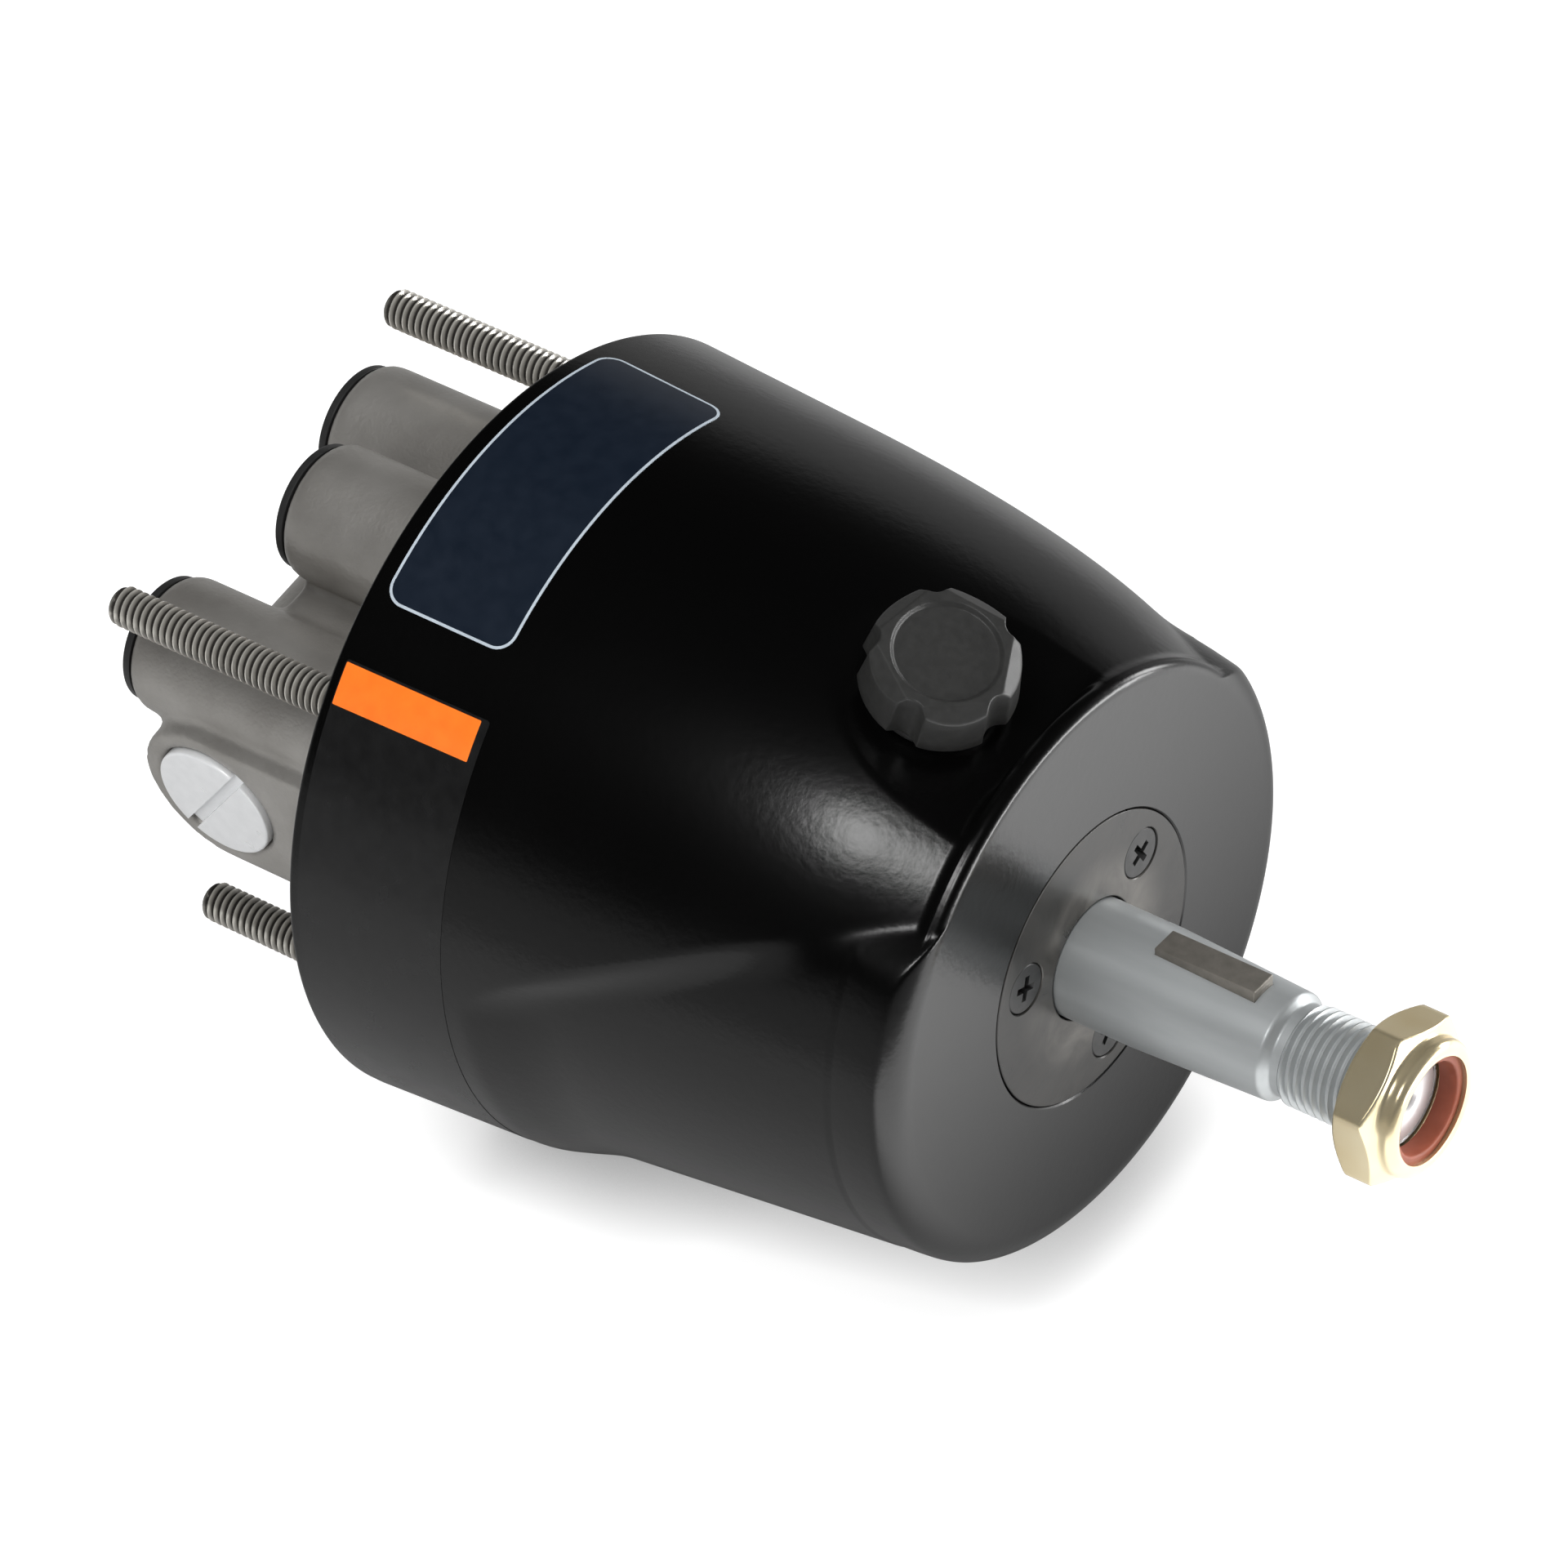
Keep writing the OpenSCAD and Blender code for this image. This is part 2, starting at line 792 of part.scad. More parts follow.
module bearing_cage() {
    color("#b0873c")
        pump_frame()
            difference() {
                ring(ball_pitch_r + cage_half, ball_pitch_r - cage_half, bearing_rear + cage_edge, bearing_front - cage_edge);
                around(ball_angles, ball_pitch_r - ball_r)
                    translate([0, 0, ball_z])
                        rotate([0, 90, 0])
                            rod(ball_r + run_fit, 0, ball_d);
            }
}

// Open spring ring that keeps the bearing in its seat
module bearing_clip() {
    slot = 8;
    color("#6d7075")
        pump_frame()
            difference() {
                ring(bearing_r + clip_lip, bearing_r - 2.2, clip_rear, bearing_rear);
                translate([-slot / 2, -bearing_r - 2 * over - clip_lip, clip_rear - over])
                    cube([slot, bearing_r, clip_t + 2 * over]);
            }
}

// Places a child on the slanted face of the swash plate, with z along the face's normal to the front
module swash_frame(z) {
    translate([0, 0, z])
        rotate([swash_angle, 0, 0])
            children();
}

module swash_plate() {
    color("#9a9ca0")
        pump_frame()
            difference() {
                rod(swash_r, rotor_front, chamber_end);
                swash_frame(swash_back_z)
                    translate([-far / 2, -far / 2, -far])
                        cube(far);
                rod(race_inner_r, 0, chamber_end + over);
                rod(nose_boss_r + fit, nose_boss_rear - gap, chamber_end + over);
                translate([-far / 2, swash_flat_y, 0])
                    cube(far);
                around([0, 180], swash_pin_circle_r)
                    rod(swash_pin_r + run_fit, chamber_end - swash_pin_in, chamber_end + over);
            }
}

module swash_pins() {
    color("#c9ccd0")
        pump_frame()
            around([0, 180], swash_pin_circle_r)
                rod(swash_pin_r, chamber_end - swash_pin_in, chamber_end + swash_pin_in);
}

module thrust_race() {
    color("#c6c9ce")
        pump_frame()
            swash_frame(swash_z)
                ring(race_outer_r, race_inner_r, 0, race_t);
}

// Outline of the two curved ports that feed the pistons
module kidneys() {
    for (side = [0, 180])
        intersection() {
            difference() {
                circle(r = piston_circle_r + kidney_half);
                circle(r = piston_circle_r - kidney_half);
            }
            rotate(side)
                polygon([
                    [0, 0], [far * cos(kidney_span / 2), -far * sin(kidney_span / 2)],
                    [far, -far * sin(kidney_span / 2)], [far, far * sin(kidney_span / 2)],
                    [far * cos(kidney_span / 2), far * sin(kidney_span / 2)]]);
        }
}

module valve_plate() {
    color("#b08d57")
        pump_frame()
            difference() {
                rod(valve_r, plate_rear, plate_rear + valve_plate_t);
                rod(drive_end_r + run_fit, 0, rotor_front);
                translate([0, 0, plate_rear - over])
                    linear_extrude(valve_plate_t + 2 * over)
                        kidneys();
                around([90, 270], valve_pin_circle_r)
                    rod(valve_pin_r + run_fit, plate_rear - over, plate_rear + valve_plate_t + over);
            }
}

module valve_pins() {
    color("#c9ccd0")
        pump_frame()
            around([90, 270], valve_pin_circle_r)
                rod(valve_pin_r, plate_rear - valve_pin_in, plate_rear + valve_plate_t - gap);
}

// Shipping plug of a port: a flat head outside and a stem in the bore
module port_plug(x, y, len) {
    color("#171717")
        pump_frame()
            translate([x, y, -len])
                union() {
                    rod(port_bore / 2 + port_head_lap, -port_head_t, 0);
                    rod(port_bore / 2 - run_fit, -port_head_t, port_stem);
                }
}

module port_plug_right() {
    port_plug(port_x, port_y, port_len);
}

module port_plug_left() {
    port_plug(-port_x, port_y, port_len);
}

module port_plug_top() {
    port_plug(0, vent_y, vent_len);
}

// Slotted plug that closes the lock valve's bore
module valve_plug(side) {
    slot_w = 2;
    slot_depth = 1.6;
    slot_turn = 52;
    edge = 0.6;
    color("#d6d8da")
        pump_frame()
            valve_frame(side)
                difference() {
                    rotate_extrude()
                        polygon([
                            [0, plug_in], [check_bore_r - run_fit, plug_in],
                            [check_bore_r - run_fit, block_half - plug_head_t], [plug_r, block_half - plug_head_t],
                            [plug_r, block_half], [plug_r - edge, block_half + edge], [0, block_half + edge]]);
                    rotate([0, 0, side * slot_turn])
                        translate([-plug_d, -slot_w / 2, block_half + edge - slot_depth])
                            cube([2 * plug_d, slot_w, slot_depth + over]);
                    translate([0, 0, block_half - plug_head_t - plug_seal_wire])
                        wire_ring(check_bore_r, plug_seal_wire);
                }
}

module valve_plug_right() {
    valve_plug(1);
}

module valve_plug_left() {
    valve_plug(-1);
}

module plug_seal(side) {
    color("#1b1b1b")
        pump_frame()
            valve_frame(side)
                translate([0, 0, block_half - plug_head_t - plug_seal_wire])
                    intersection() {
                        wire_ring(check_bore_r, plug_seal_wire - run_fit);
                        rod(check_bore_r, -over - plug_seal_wire, plug_seal_wire + over);
                    }
}

module plug_seal_right() {
    plug_seal(1);
}

module plug_seal_left() {
    plug_seal(-1);
}

module check_seat(side) {
    color("#b9bcc0")
        pump_frame()
            valve_frame(side)
                ring(check_bore_r, seat_hole_r, seat_in, seat_out);
}

module check_seat_right() {
    check_seat(1);
}

module check_seat_left() {
    check_seat(-1);
}

// Poppet with a flat sealing shoulder, a nose in the seat and a stem that guides its spring
module check_poppet(side) {
    nose_r = seat_hole_r - gap;
    color("#b59a5a")
        pump_frame()
            valve_frame(side)
                union() {
                    rod(poppet_r, seat_out + run_fit, seat_out + poppet_head_t);
                    rod(poppet_guide_r - gap, seat_out + poppet_head_t - run_fit, seat_out + poppet_len);
                    rod(nose_r, seat_out - seat_t / 2, seat_out + over);
                }
}

module check_poppet_right() {
    check_poppet(1);
}

module check_poppet_left() {
    check_poppet(-1);
}

module check_spring(side) {
    color("#b8bcc2")
        pump_frame()
            valve_frame(side)
                coil(poppet_guide_r + check_wire_r + gap, check_wire_r, seat_out + poppet_head_t, plug_in, check_turns);
}

module check_spring_right() {
    check_spring(1);
}

module check_spring_left() {
    check_spring(-1);
}

// Spool that slides between the two check valves, with a push rod at each end
module lock_spool() {
    groove_half = 1.2;
    color("#d0d2d5")
        pump_frame()
            valve_frame(1)
                difference() {
                    union() {
                        rod(spool_r - run_fit, -spool_half, spool_half);
                        rod(spool_rod_r, -spool_half - spool_rod_len, spool_half + spool_rod_len);
                    }
                    ring(spool_r + over, spool_r - 1.5, -groove_half, groove_half);
                }
}

// Shaft with its drive hexagon, bearing seat, wheel taper, key seat and threaded end
module steering_shaft() {
    color("#b4b8bb")
        pump_frame()
            difference() {
                union() {
                    rotate_extrude()
                        polygon([
                            [0, drive_tail], [drive_end_r, drive_tail], [drive_end_r, rotor_front],
                            [drive_af / 2 + drive_shoulder, rotor_front],
                            [drive_af / 2 + drive_shoulder, collar_z], [collar_r, collar_z], [collar_r, bearing_rear],
                            [bearing_bore / 2, bearing_rear], [bearing_bore / 2, bearing_front],
                            [shaft_r, bearing_front + 0.6], [shaft_r, taper_z], [taper_end_r, taper_end],
                            [neck_r, thread_z - neck_len / 3], [neck_r, thread_z], [thread_r, thread_z],
                            [thread_r, shaft_end - end_chamfer], [thread_r - end_chamfer, shaft_end],
                            [centre_r, shaft_end], [0, shaft_end - centre_depth]]);
                    translate([0, 0, rotor_rear])
                        cylinder(r = drive_af / 2 / cos(30), h = rotor_len, $fn = 6);
                }
                rotate([0, 0, key_turn])
                    translate([-key_w / 2, key_floor, key_z])
                        cube([key_w, key_w + over, key_len]);
            }
}

module shaft_key() {
    color("#5a5854")
        pump_frame()
            rotate([0, 0, key_turn])
                translate([-key_w / 2, key_floor, key_z])
                    cube([key_w, key_w, key_len]);
}

module wheel_nut() {
    collar_edge = 1.4;
    collar_r = insert_r + 1.3;
    corner = nut_af / 2 / cos(30);
    bevel = corner - nut_round_r;
    color("#c9b063")
        pump_frame()
            translate([0, 0, nut_z])
                difference() {
                    union() {
                        intersection() {
                            rotate([0, 0, nut_turn])
                                cylinder(r = corner, h = nut_hex_h, $fn = 6);
                            rotate_extrude()
                                polygon([
                                    [0, 0], [nut_round_r, 0], [corner + 0.1, bevel * tan(30)],
                                    [corner + 0.1, nut_hex_h - bevel * tan(30)], [nut_round_r, nut_hex_h],
                                    [0, nut_hex_h]]);
                        }
                        rotate_extrude()
                            polygon(concat(
                                [[0, nut_hex_h / 2], [collar_r, nut_hex_h / 2]],
                                arc(collar_r - collar_edge, nut_front - nut_z - collar_edge, collar_edge, 0, 90),
                                [[0, nut_front - nut_z]]));
                    }
                    rod(thread_r + run_fit, -over, nut_front);
                    rod(insert_r, insert_rear - nut_z, nut_front - nut_z - insert_lip);
                    rod(insert_r - insert_wall / 2, insert_rear - nut_z, nut_front);
                }
}

module nut_insert() {
    color("#7c3626")
        pump_frame()
            ring(insert_r, thread_r - neck_cut, insert_rear, nut_front - insert_lip);
}

module rotor() {
    color("#8f9397")
        pump_frame()
            difference() {
                rod(rotor_r, rotor_rear, rotor_front);
                translate([0, 0, rotor_rear - over])
                    cylinder(r = (drive_af / 2 + run_fit) / cos(30), h = rotor_len + 2 * over, $fn = 6);
                around(piston_angles, piston_circle_r) {
                    rod(piston_r + run_fit, bore_floor, rotor_front + over);
                    rod(passage_r, rotor_rear - over, bore_floor + over);
                }
            }
}

// Hollow piston with a round tip, at the place given by its number
module piston(number) {
    color("#c3c6ca")
        pump_frame()
            around([piston_angles[number - 1]], piston_circle_r)
                difference() {
                    union() {
                        rod(piston_r, piston_tail, tip_z);
                        translate([0, 0, tip_z])
                            intersection() {
                                sphere(r = piston_r);
                                rod(piston_r + over, -over, piston_r + over);
                            }
                    }
                    rod(piston_bore_r, piston_tail - over, piston_bore_top);
                }
}

module piston_spring(number) {
    color("#b8bcc2")
        pump_frame()
            around([piston_angles[number - 1]], piston_circle_r)
                coil(spring_r, spring_wire_r, bore_floor, piston_bore_top, spring_turns);
}

// Outline of the cap: a disc with round notches between its lobes
module cap_outline() {
    difference() {
        circle(r = cap_r);
        for (i = [0:cap_lobes - 1])
            rotate(cap_turn + 360 * (i + 0.5) / cap_lobes)
                translate([cap_r + lobe_notch_r * 0.55, 0])
                    circle(r = lobe_notch_r);
    }
}

// Cap with lobes that slope off at the top, a dished top, a neck and a threaded stem
module filler_cap() {
    neck_r = cap_seal_r + seal_wire_r;
    slope_low = cap_top - (cap_r - facet_r);
    color("#2b2c2d")
        pump_frame()
            pad_frame()
                difference() {
                    union() {
                        intersection() {
                            translate([0, 0, neck_h])
                                linear_extrude(cap_h)
                                    cap_outline();
                            rotate_extrude()
                                polygon([
                                    [0, 0], [cap_r + over, 0], [cap_r + over, slope_low - over],
                                    [facet_r, cap_top], [0, cap_top]]);
                        }
                        rod(neck_r, 2 * seal_wire_r + 2 * gap, neck_h + over);
                        rod(stem_r, -stem_len, neck_h + over);
                    }
                    rod(dish_r, cap_top - dish_depth, cap_top + over);
                }
}

module filler_seal() {
    color("#141414")
        pump_frame()
            pad_frame()
                translate([0, 0, seal_wire_r + gap])
                    wire_ring(cap_seal_r, seal_wire_r);
}

front_housing();
rear_casting();
casting_seal();
casting_screws();
mounting_studs();
retainer_plate();
retainer_screws();
shaft_seal();
bearing_outer_race();
bearing_clip();
swash_plate();
swash_pins();
thrust_race();
valve_plate();
valve_pins();
port_plug_right();
port_plug_left();
port_plug_top();
valve_plug_right();
valve_plug_left();
plug_seal_right();
plug_seal_left();
check_seat_right();
check_seat_left();
check_poppet_right();
check_poppet_left();
check_spring_right();
check_spring_left();
lock_spool();
steering_shaft();
shaft_key();
wheel_nut();
nut_insert();
bearing_inner_race();
rotor();
piston(1);  // piston_1
piston(2);  // piston_2
piston(3);  // piston_3
piston(4);  // piston_4
piston(5);  // piston_5
piston(6);  // piston_6
piston(7);  // piston_7
piston_spring(1);  // piston_spring_1
piston_spring(2);  // piston_spring_2
piston_spring(3);  // piston_spring_3
piston_spring(4);  // piston_spring_4
piston_spring(5);  // piston_spring_5
piston_spring(6);  // piston_spring_6
piston_spring(7);  // piston_spring_7
bearing_balls();
bearing_cage();
filler_cap();
filler_seal();
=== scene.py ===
import math

import bmesh
import bpy
import numpy as np
from mathutils import Matrix, Vector


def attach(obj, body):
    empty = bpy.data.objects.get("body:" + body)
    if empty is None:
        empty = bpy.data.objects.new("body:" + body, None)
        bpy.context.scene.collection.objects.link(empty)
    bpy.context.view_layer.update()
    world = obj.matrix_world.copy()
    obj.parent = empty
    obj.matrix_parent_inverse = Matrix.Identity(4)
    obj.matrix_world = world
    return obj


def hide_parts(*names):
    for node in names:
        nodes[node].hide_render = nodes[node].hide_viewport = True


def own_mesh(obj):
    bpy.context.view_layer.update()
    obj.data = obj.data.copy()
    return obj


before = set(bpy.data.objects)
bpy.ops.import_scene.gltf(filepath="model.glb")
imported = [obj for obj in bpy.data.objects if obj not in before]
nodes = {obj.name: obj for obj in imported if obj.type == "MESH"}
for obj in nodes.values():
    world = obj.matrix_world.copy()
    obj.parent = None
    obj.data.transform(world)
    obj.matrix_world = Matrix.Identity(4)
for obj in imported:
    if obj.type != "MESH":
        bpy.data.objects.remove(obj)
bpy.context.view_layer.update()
print("frame loaded:", len(nodes), "nodes")


# ways to describe a finish
class Wire:
    def __init__(self, finish, socket):
        self.finish, self.socket = finish, socket

    def reckon(self, operation, other, flip=False):
        first, second = (other, self) if flip else (self, other)
        return self.finish.node("ShaderNodeMath", {"operation": operation}, {0: first, 1: second})

    def __add__(self, other):
        return self.reckon("ADD", other)

    def __radd__(self, other):
        return self.reckon("ADD", other, True)

    def __sub__(self, other):
        return self.reckon("SUBTRACT", other)

    def __rsub__(self, other):
        return self.reckon("SUBTRACT", other, True)

    def __mul__(self, other):
        return self.reckon("MULTIPLY", other)

    def __rmul__(self, other):
        return self.reckon("MULTIPLY", other, True)

    def __pow__(self, other):
        return self.reckon("POWER", other)

    def __rpow__(self, other):
        return self.reckon("POWER", other, True)


class Finish:
    def __init__(self, name, colour=(0.5, 0.5, 0.5), roughness=0.5, metallic=0.0, fixed=None, material=None):
        self.material = material or bpy.data.materials.new(name)
        self.material.use_nodes = True
        self.tree = self.material.node_tree
        self.shader = self.tree.nodes.get("Principled BSDF")
        if self.shader:
            self.shader.inputs["Base Color"].default_value = (*colour, 1)
            self.shader.inputs["Roughness"].default_value = roughness
            self.shader.inputs["Metallic"].default_value = metallic
            for key, value in (fixed or {}).items():
                self.shader.inputs[key].default_value = value
        self.place = None

    def node(self, kind, settings, sockets, out=0):
        made = self.tree.nodes.new(kind)
        for key, value in settings.items():
            setattr(made, key, value)
        for key, value in sockets.items():
            if isinstance(value, Wire):
                self.tree.links.new(value.socket, made.inputs[key])
            else:
                made.inputs[key].default_value = value
        return Wire(self, made.outputs[out])

    def spot(self):  # where a point lies on the piece, in metres
        if self.place is None:
            self.place = self.node("ShaderNodeTexCoord", {}, {}, 3)
        return self.place

    def noise(self, scale, detail=2.0, stretch=None):
        spot = self.spot()
        if stretch:
            spot = self.node("ShaderNodeVectorMath", {"operation": "MULTIPLY"}, {0: spot, 1: stretch})
        return self.node("ShaderNodeTexNoise", {}, {"Vector": spot, "Scale": scale, "Detail": detail})

    def blend(self, share, first, second):
        return self.node("ShaderNodeMix", {"data_type": "RGBA"}, {0: share, 6: first, 7: second}, 2)

    def axis(self, number):  # one coordinate of that place
        return self.node("ShaderNodeSeparateXYZ", {}, {0: self.spot()}, number)

    def fade(self, value, low, top, first=0.0, last=1.0, smooth=True):
        kind = {"interpolation_type": "SMOOTHSTEP" if smooth else "LINEAR"}
        return self.node("ShaderNodeMapRange", kind, {0: value, 1: low, 2: top, 3: first, 4: last})

    def bump(self, height, distance, strength=1.0):
        normal = self.node("ShaderNodeBump", {}, {"Height": height, "Distance": distance, "Strength": strength})
        self.feed("Normal", normal)

    def feed(self, name, wire):
        self.tree.links.new(wire.socket, self.shader.inputs[name])


# ways to make a mesh; sizes are in millimetres until solid() turns them into metres
def axisFrame(origin, along, across):
    along, across = Vector(along).normalized(), Vector(across).normalized()
    side = along.cross(across)
    turn = Matrix((across, side, along)).transposed().to_4x4()
    return Matrix.Translation(Vector(origin)) @ turn


shaftFrame = axisFrame((0, 0, 0), (0, -1, 0), (1, 0, 0))  # z forward along the shaft, y up
axisEnd = 0.02  # a turned form closes at this radius


def solid(name, points, faces, place=None, sharp=32):
    mesh = bpy.data.meshes.new(name)
    mesh.from_pydata([tuple(p) for p in np.asarray(points)], [], [tuple(f) for f in faces])
    if place is not None:
        mesh.transform(place)
    mesh.transform(Matrix.Scale(0.001, 4))
    work = bmesh.new()
    work.from_mesh(mesh)
    bmesh.ops.remove_doubles(work, verts=work.verts, dist=1e-6)
    bmesh.ops.recalc_face_normals(work, faces=work.faces)
    work.to_mesh(mesh)
    work.free()
    mesh.shade_smooth()
    mesh.set_sharp_from_angle(angle=math.radians(sharp))
    piece = bpy.data.objects.new(name, mesh)
    bpy.context.scene.collection.objects.link(piece)
    return piece


def turned(rows, columns, closed=False, angle=None):
    # rows of (radius, height), each a number or one value for each column
    angle = np.arange(columns) * 2 * np.pi / columns if angle is None else angle
    points, faces = [], []
    for radius, height in rows:
        radius = np.broadcast_to(radius, columns)
        height = np.broadcast_to(height, columns)
        points.append(np.stack([radius * np.cos(angle), radius * np.sin(angle), height], 1))
    count = len(rows)
    for row in range(count if closed else count - 1):
        low, top = row * columns, (row + 1) % count * columns
        for col in range(columns):
            after = (col + 1) % columns
            faces.append((low + col, low + after, top + after, top + col))
    if not closed:
        faces.append(tuple(range(columns - 1, -1, -1)))
        faces.append(tuple(range((count - 1) * columns, count * columns)))
    return np.concatenate(points), faces


def rounded(corners, radius, steps=5):
    # an open outline of (radius, height) points with its inner corners rounded off
    out = [corners[0]]
    for before, here, after, r in zip(corners, corners[1:], corners[2:], radius):
        before, here, after = np.array(before, float), np.array(here, float), np.array(after, float)
        inward, outward = before - here, after - here
        room = 0.49 * min(np.linalg.norm(inward), np.linalg.norm(outward))
        cut = min(r, room)
        if cut <= 0:
            out.append(tuple(here))
            continue
        start = here + inward / np.linalg.norm(inward) * cut
        end = here + outward / np.linalg.norm(outward) * cut
        for step in range(steps + 1):
            t = step / steps
            out.append(tuple(start * (1 - t) ** 2 + here * 2 * t * (1 - t) + end * t * t))
    out.append(corners[-1])
    return out


def softMin(a, b, reach):
    h = np.clip(0.5 + 0.5 * (b - a) / reach, 0, 1)
    return b * (1 - h) + a * h - reach * h * (1 - h)


def softMax(a, b, reach):
    return -softMin(-a, -b, reach)


def dress(piece, body, slot, finish, *replaced):
    piece.data.materials.clear()
    piece.data.materials.append(finish.material)
    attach(piece, body)
    if replaced:
        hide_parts(*replaced)
    return piece


def joined(name, pieces):
    work = bmesh.new()
    for piece in pieces:
        work.from_mesh(piece.data)
    mesh = bpy.data.meshes.new(name)
    work.to_mesh(mesh)
    work.free()
    for piece in pieces:
        bpy.data.objects.remove(piece)
    piece = bpy.data.objects.new(name, mesh)
    bpy.context.scene.collection.objects.link(piece)
    return piece


def carved(piece, cutter, keep="DIFFERENCE", sharp=32):
    tool = piece.modifiers.new("carve", "BOOLEAN")
    tool.operation, tool.object, tool.solver = keep, cutter, "EXACT"
    settled(piece)
    bpy.data.objects.remove(cutter)
    piece.data.shade_smooth()
    piece.data.set_sharp_from_angle(angle=math.radians(sharp))
    return piece


def settled(piece):
    bpy.context.view_layer.update()
    graph = bpy.context.evaluated_depsgraph_get()
    mesh = bpy.data.meshes.new_from_object(piece.evaluated_get(graph))
    piece.modifiers.clear()
    piece.data = mesh
    return piece


# camera at the photograph's angle
photoView = {
    "place": (-0.73287, -0.82587, 1.18428),
    "right": (0.58253, -0.79610, -0.16397),
    "up": (0.66919, 0.35524, 0.65270),
    "back": (-0.46137, -0.48994, 0.73967),
    "lens": 245.46,
    "sensor": 36,
}


def makeCamera():
    data = bpy.data.cameras.new("photoCamera")
    data.lens, data.sensor_width, data.sensor_fit = photoView["lens"], photoView["sensor"], "HORIZONTAL"
    data.clip_end = 20
    camera = bpy.data.objects.new("photoCamera", data)
    turn = Matrix((photoView["right"], photoView["up"], photoView["back"])).transposed().to_4x4()
    camera.matrix_world = Matrix.Translation(photoView["place"]) @ turn
    bpy.context.scene.collection.objects.link(camera)
    bpy.context.scene.camera = camera


makeCamera()
print("camera placed")

# floor and studio light
studio = {
    "floorZ": -0.0612,
    "floorFrom": (-0.45, -0.42), "floorTo": (0.32, 0.24),  # a sheet of paper just larger than the view
    # the paper is painted paler in front of the part, a painted pool of light
    "floorShade": 0.42, "litPoolShade": 0.85,
    "floorSeen": 0.8, "contactShadowReach": 0.016,  # white that the camera sees on the paper, with a painted contact shadow where things touch it
    "litPoolGlow": 1.0, "frontFrom": 0.1, "frontTo": 0.18,  # a painted pool of light on the paper in front of the part, glowing for shiny faces only
    "world": 0.008, "worldLow": 0.32, "worldFade": (0.08, 0.32),  # the room is paler near the ground
    "aim": (0, -0.05, 0),
    "lamps": [
        # name, direction, distance, width, height, watts, shows in gloss
        ("keyBox", (-0.44, -0.15, 0.886), 1.3, 0.28, 0.28, 3.0, True),
        ("sideStrip", (0.955, -0.29, 0.06), 1.0, 0.26, 0.26, 2.2, True),
        ("frontStrip", (0.50, -0.86, -0.03), 0.75, 0.9, 0.12, 5.0, True),
        ("overheadFill", (0.05, -0.1, 1.0), 1.8, 2.0, 2.0, 46.0, False),
        ("leftFill", (-0.95, 0.1, 0.3), 1.5, 1.2, 1.2, 13.0, False),
    ],
}


def rays(finish):
    path = finish.node("ShaderNodeLightPath", {}, {})
    camera, glossy, through = (Wire(finish, path.socket.node.outputs[n])
                               for n in ("Is Camera Ray", "Is Glossy Ray", "Is Transmission Ray"))
    return camera, glossy.reckon("MAXIMUM", through)


def makeStudio():
    (x0, y0), (x1, y1) = studio["floorFrom"], studio["floorTo"]
    mesh = bpy.data.meshes.new("paperFloor")
    corners = [(x, y, studio["floorZ"]) for x, y in ((x0, y0), (x1, y0), (x1, y1), (x0, y1))]
    mesh.from_pydata(corners, [], [(0, 1, 2, 3)])
    floor = bpy.data.objects.new("paperFloor", mesh)
    bpy.context.scene.collection.objects.link(floor)
    paper = Finish("whitePaper", (studio["floorShade"],) * 3, 0.9, 0.0,
                   {"Emission Strength": 1.0, "Specular IOR Level": 0.0})
    camera, glossy = rays(paper)
    # painted pool of light: paper paler in front of the part, and glowing there for glossy rays
    front = paper.fade(-1.0 * paper.axis(1), studio["frontFrom"], studio["frontTo"])
    # painted contact shadow: ambient occlusion darkens the white that the camera sees
    clear = paper.node("ShaderNodeAmbientOcclusion", {"samples": 8}, {"Distance": studio["contactShadowReach"]}, 1)
    paper.feed("Base Color", studio["floorShade"] + front * (studio["litPoolShade"] - studio["floorShade"]))
    paper.feed("Emission Color", camera * clear * studio["floorSeen"] + glossy * front * studio["litPoolGlow"])
    mesh.materials.append(paper.material)
    world = bpy.data.worlds.new("studioRoom")
    room = Finish("studioRoom", material=world)
    camera, glossy = rays(room)
    way = room.node("ShaderNodeTexCoord", {}, {})
    high = room.node("ShaderNodeSeparateXYZ", {}, {0: way}, 2)
    low = room.fade(high, *studio["worldFade"], studio["worldLow"], 0.0)
    shade = camera.reckon("MAXIMUM", studio["world"] + glossy * low)
    room.tree.links.new(shade.socket, room.tree.nodes["Background"].inputs["Color"])
    room.tree.nodes["Background"].inputs["Strength"].default_value = 1.0
    bpy.context.scene.world = world
    for name, way, far, wide, high, watts, gloss in studio["lamps"]:
        data = bpy.data.lights.new(name, "AREA")
        data.shape, data.size, data.size_y, data.energy = "RECTANGLE", wide, high, watts
        lamp = bpy.data.objects.new(name, data)
        lamp.location = Vector(studio["aim"]) + Vector(way).normalized() * far
        lamp.rotation_euler = Vector(way).to_track_quat("Z", "Y").to_euler()
        lamp.visible_glossy = gloss
        bpy.context.scene.collection.objects.link(lamp)
    bpy.context.scene.view_settings.view_transform = "Standard"


makeStudio()
print("studio lit")


# finishes
def blackPaint():
    paint = Finish("blackPaint", (0.0011, 0.0011, 0.0011), 0.25, 0.0, {"Specular IOR Level": 0.56})
    paint.feed("Roughness", 0.21 + 0.06 * paint.noise(45, 3))
    peel = paint.noise(700, 1) + 0.35 * paint.noise(2300, 1)
    paint.bump(peel, 0.00004, 0.6)
    return paint


def castAluminium():
    cast = Finish("castAluminium", (0.5, 0.48, 0.45), 0.4, 0.72)
    mottle = cast.noise(70, 4)
    fine = cast.noise(1500, 2)
    cast.feed("Base Color", cast.blend(mottle, (0.24, 0.225, 0.205, 1), (0.56, 0.545, 0.52, 1)))
    cast.feed("Roughness", 0.31 + 0.18 * fine)
    cast.bump(fine + 0.6 * cast.noise(420, 2), 0.00012, 0.7)
    return cast


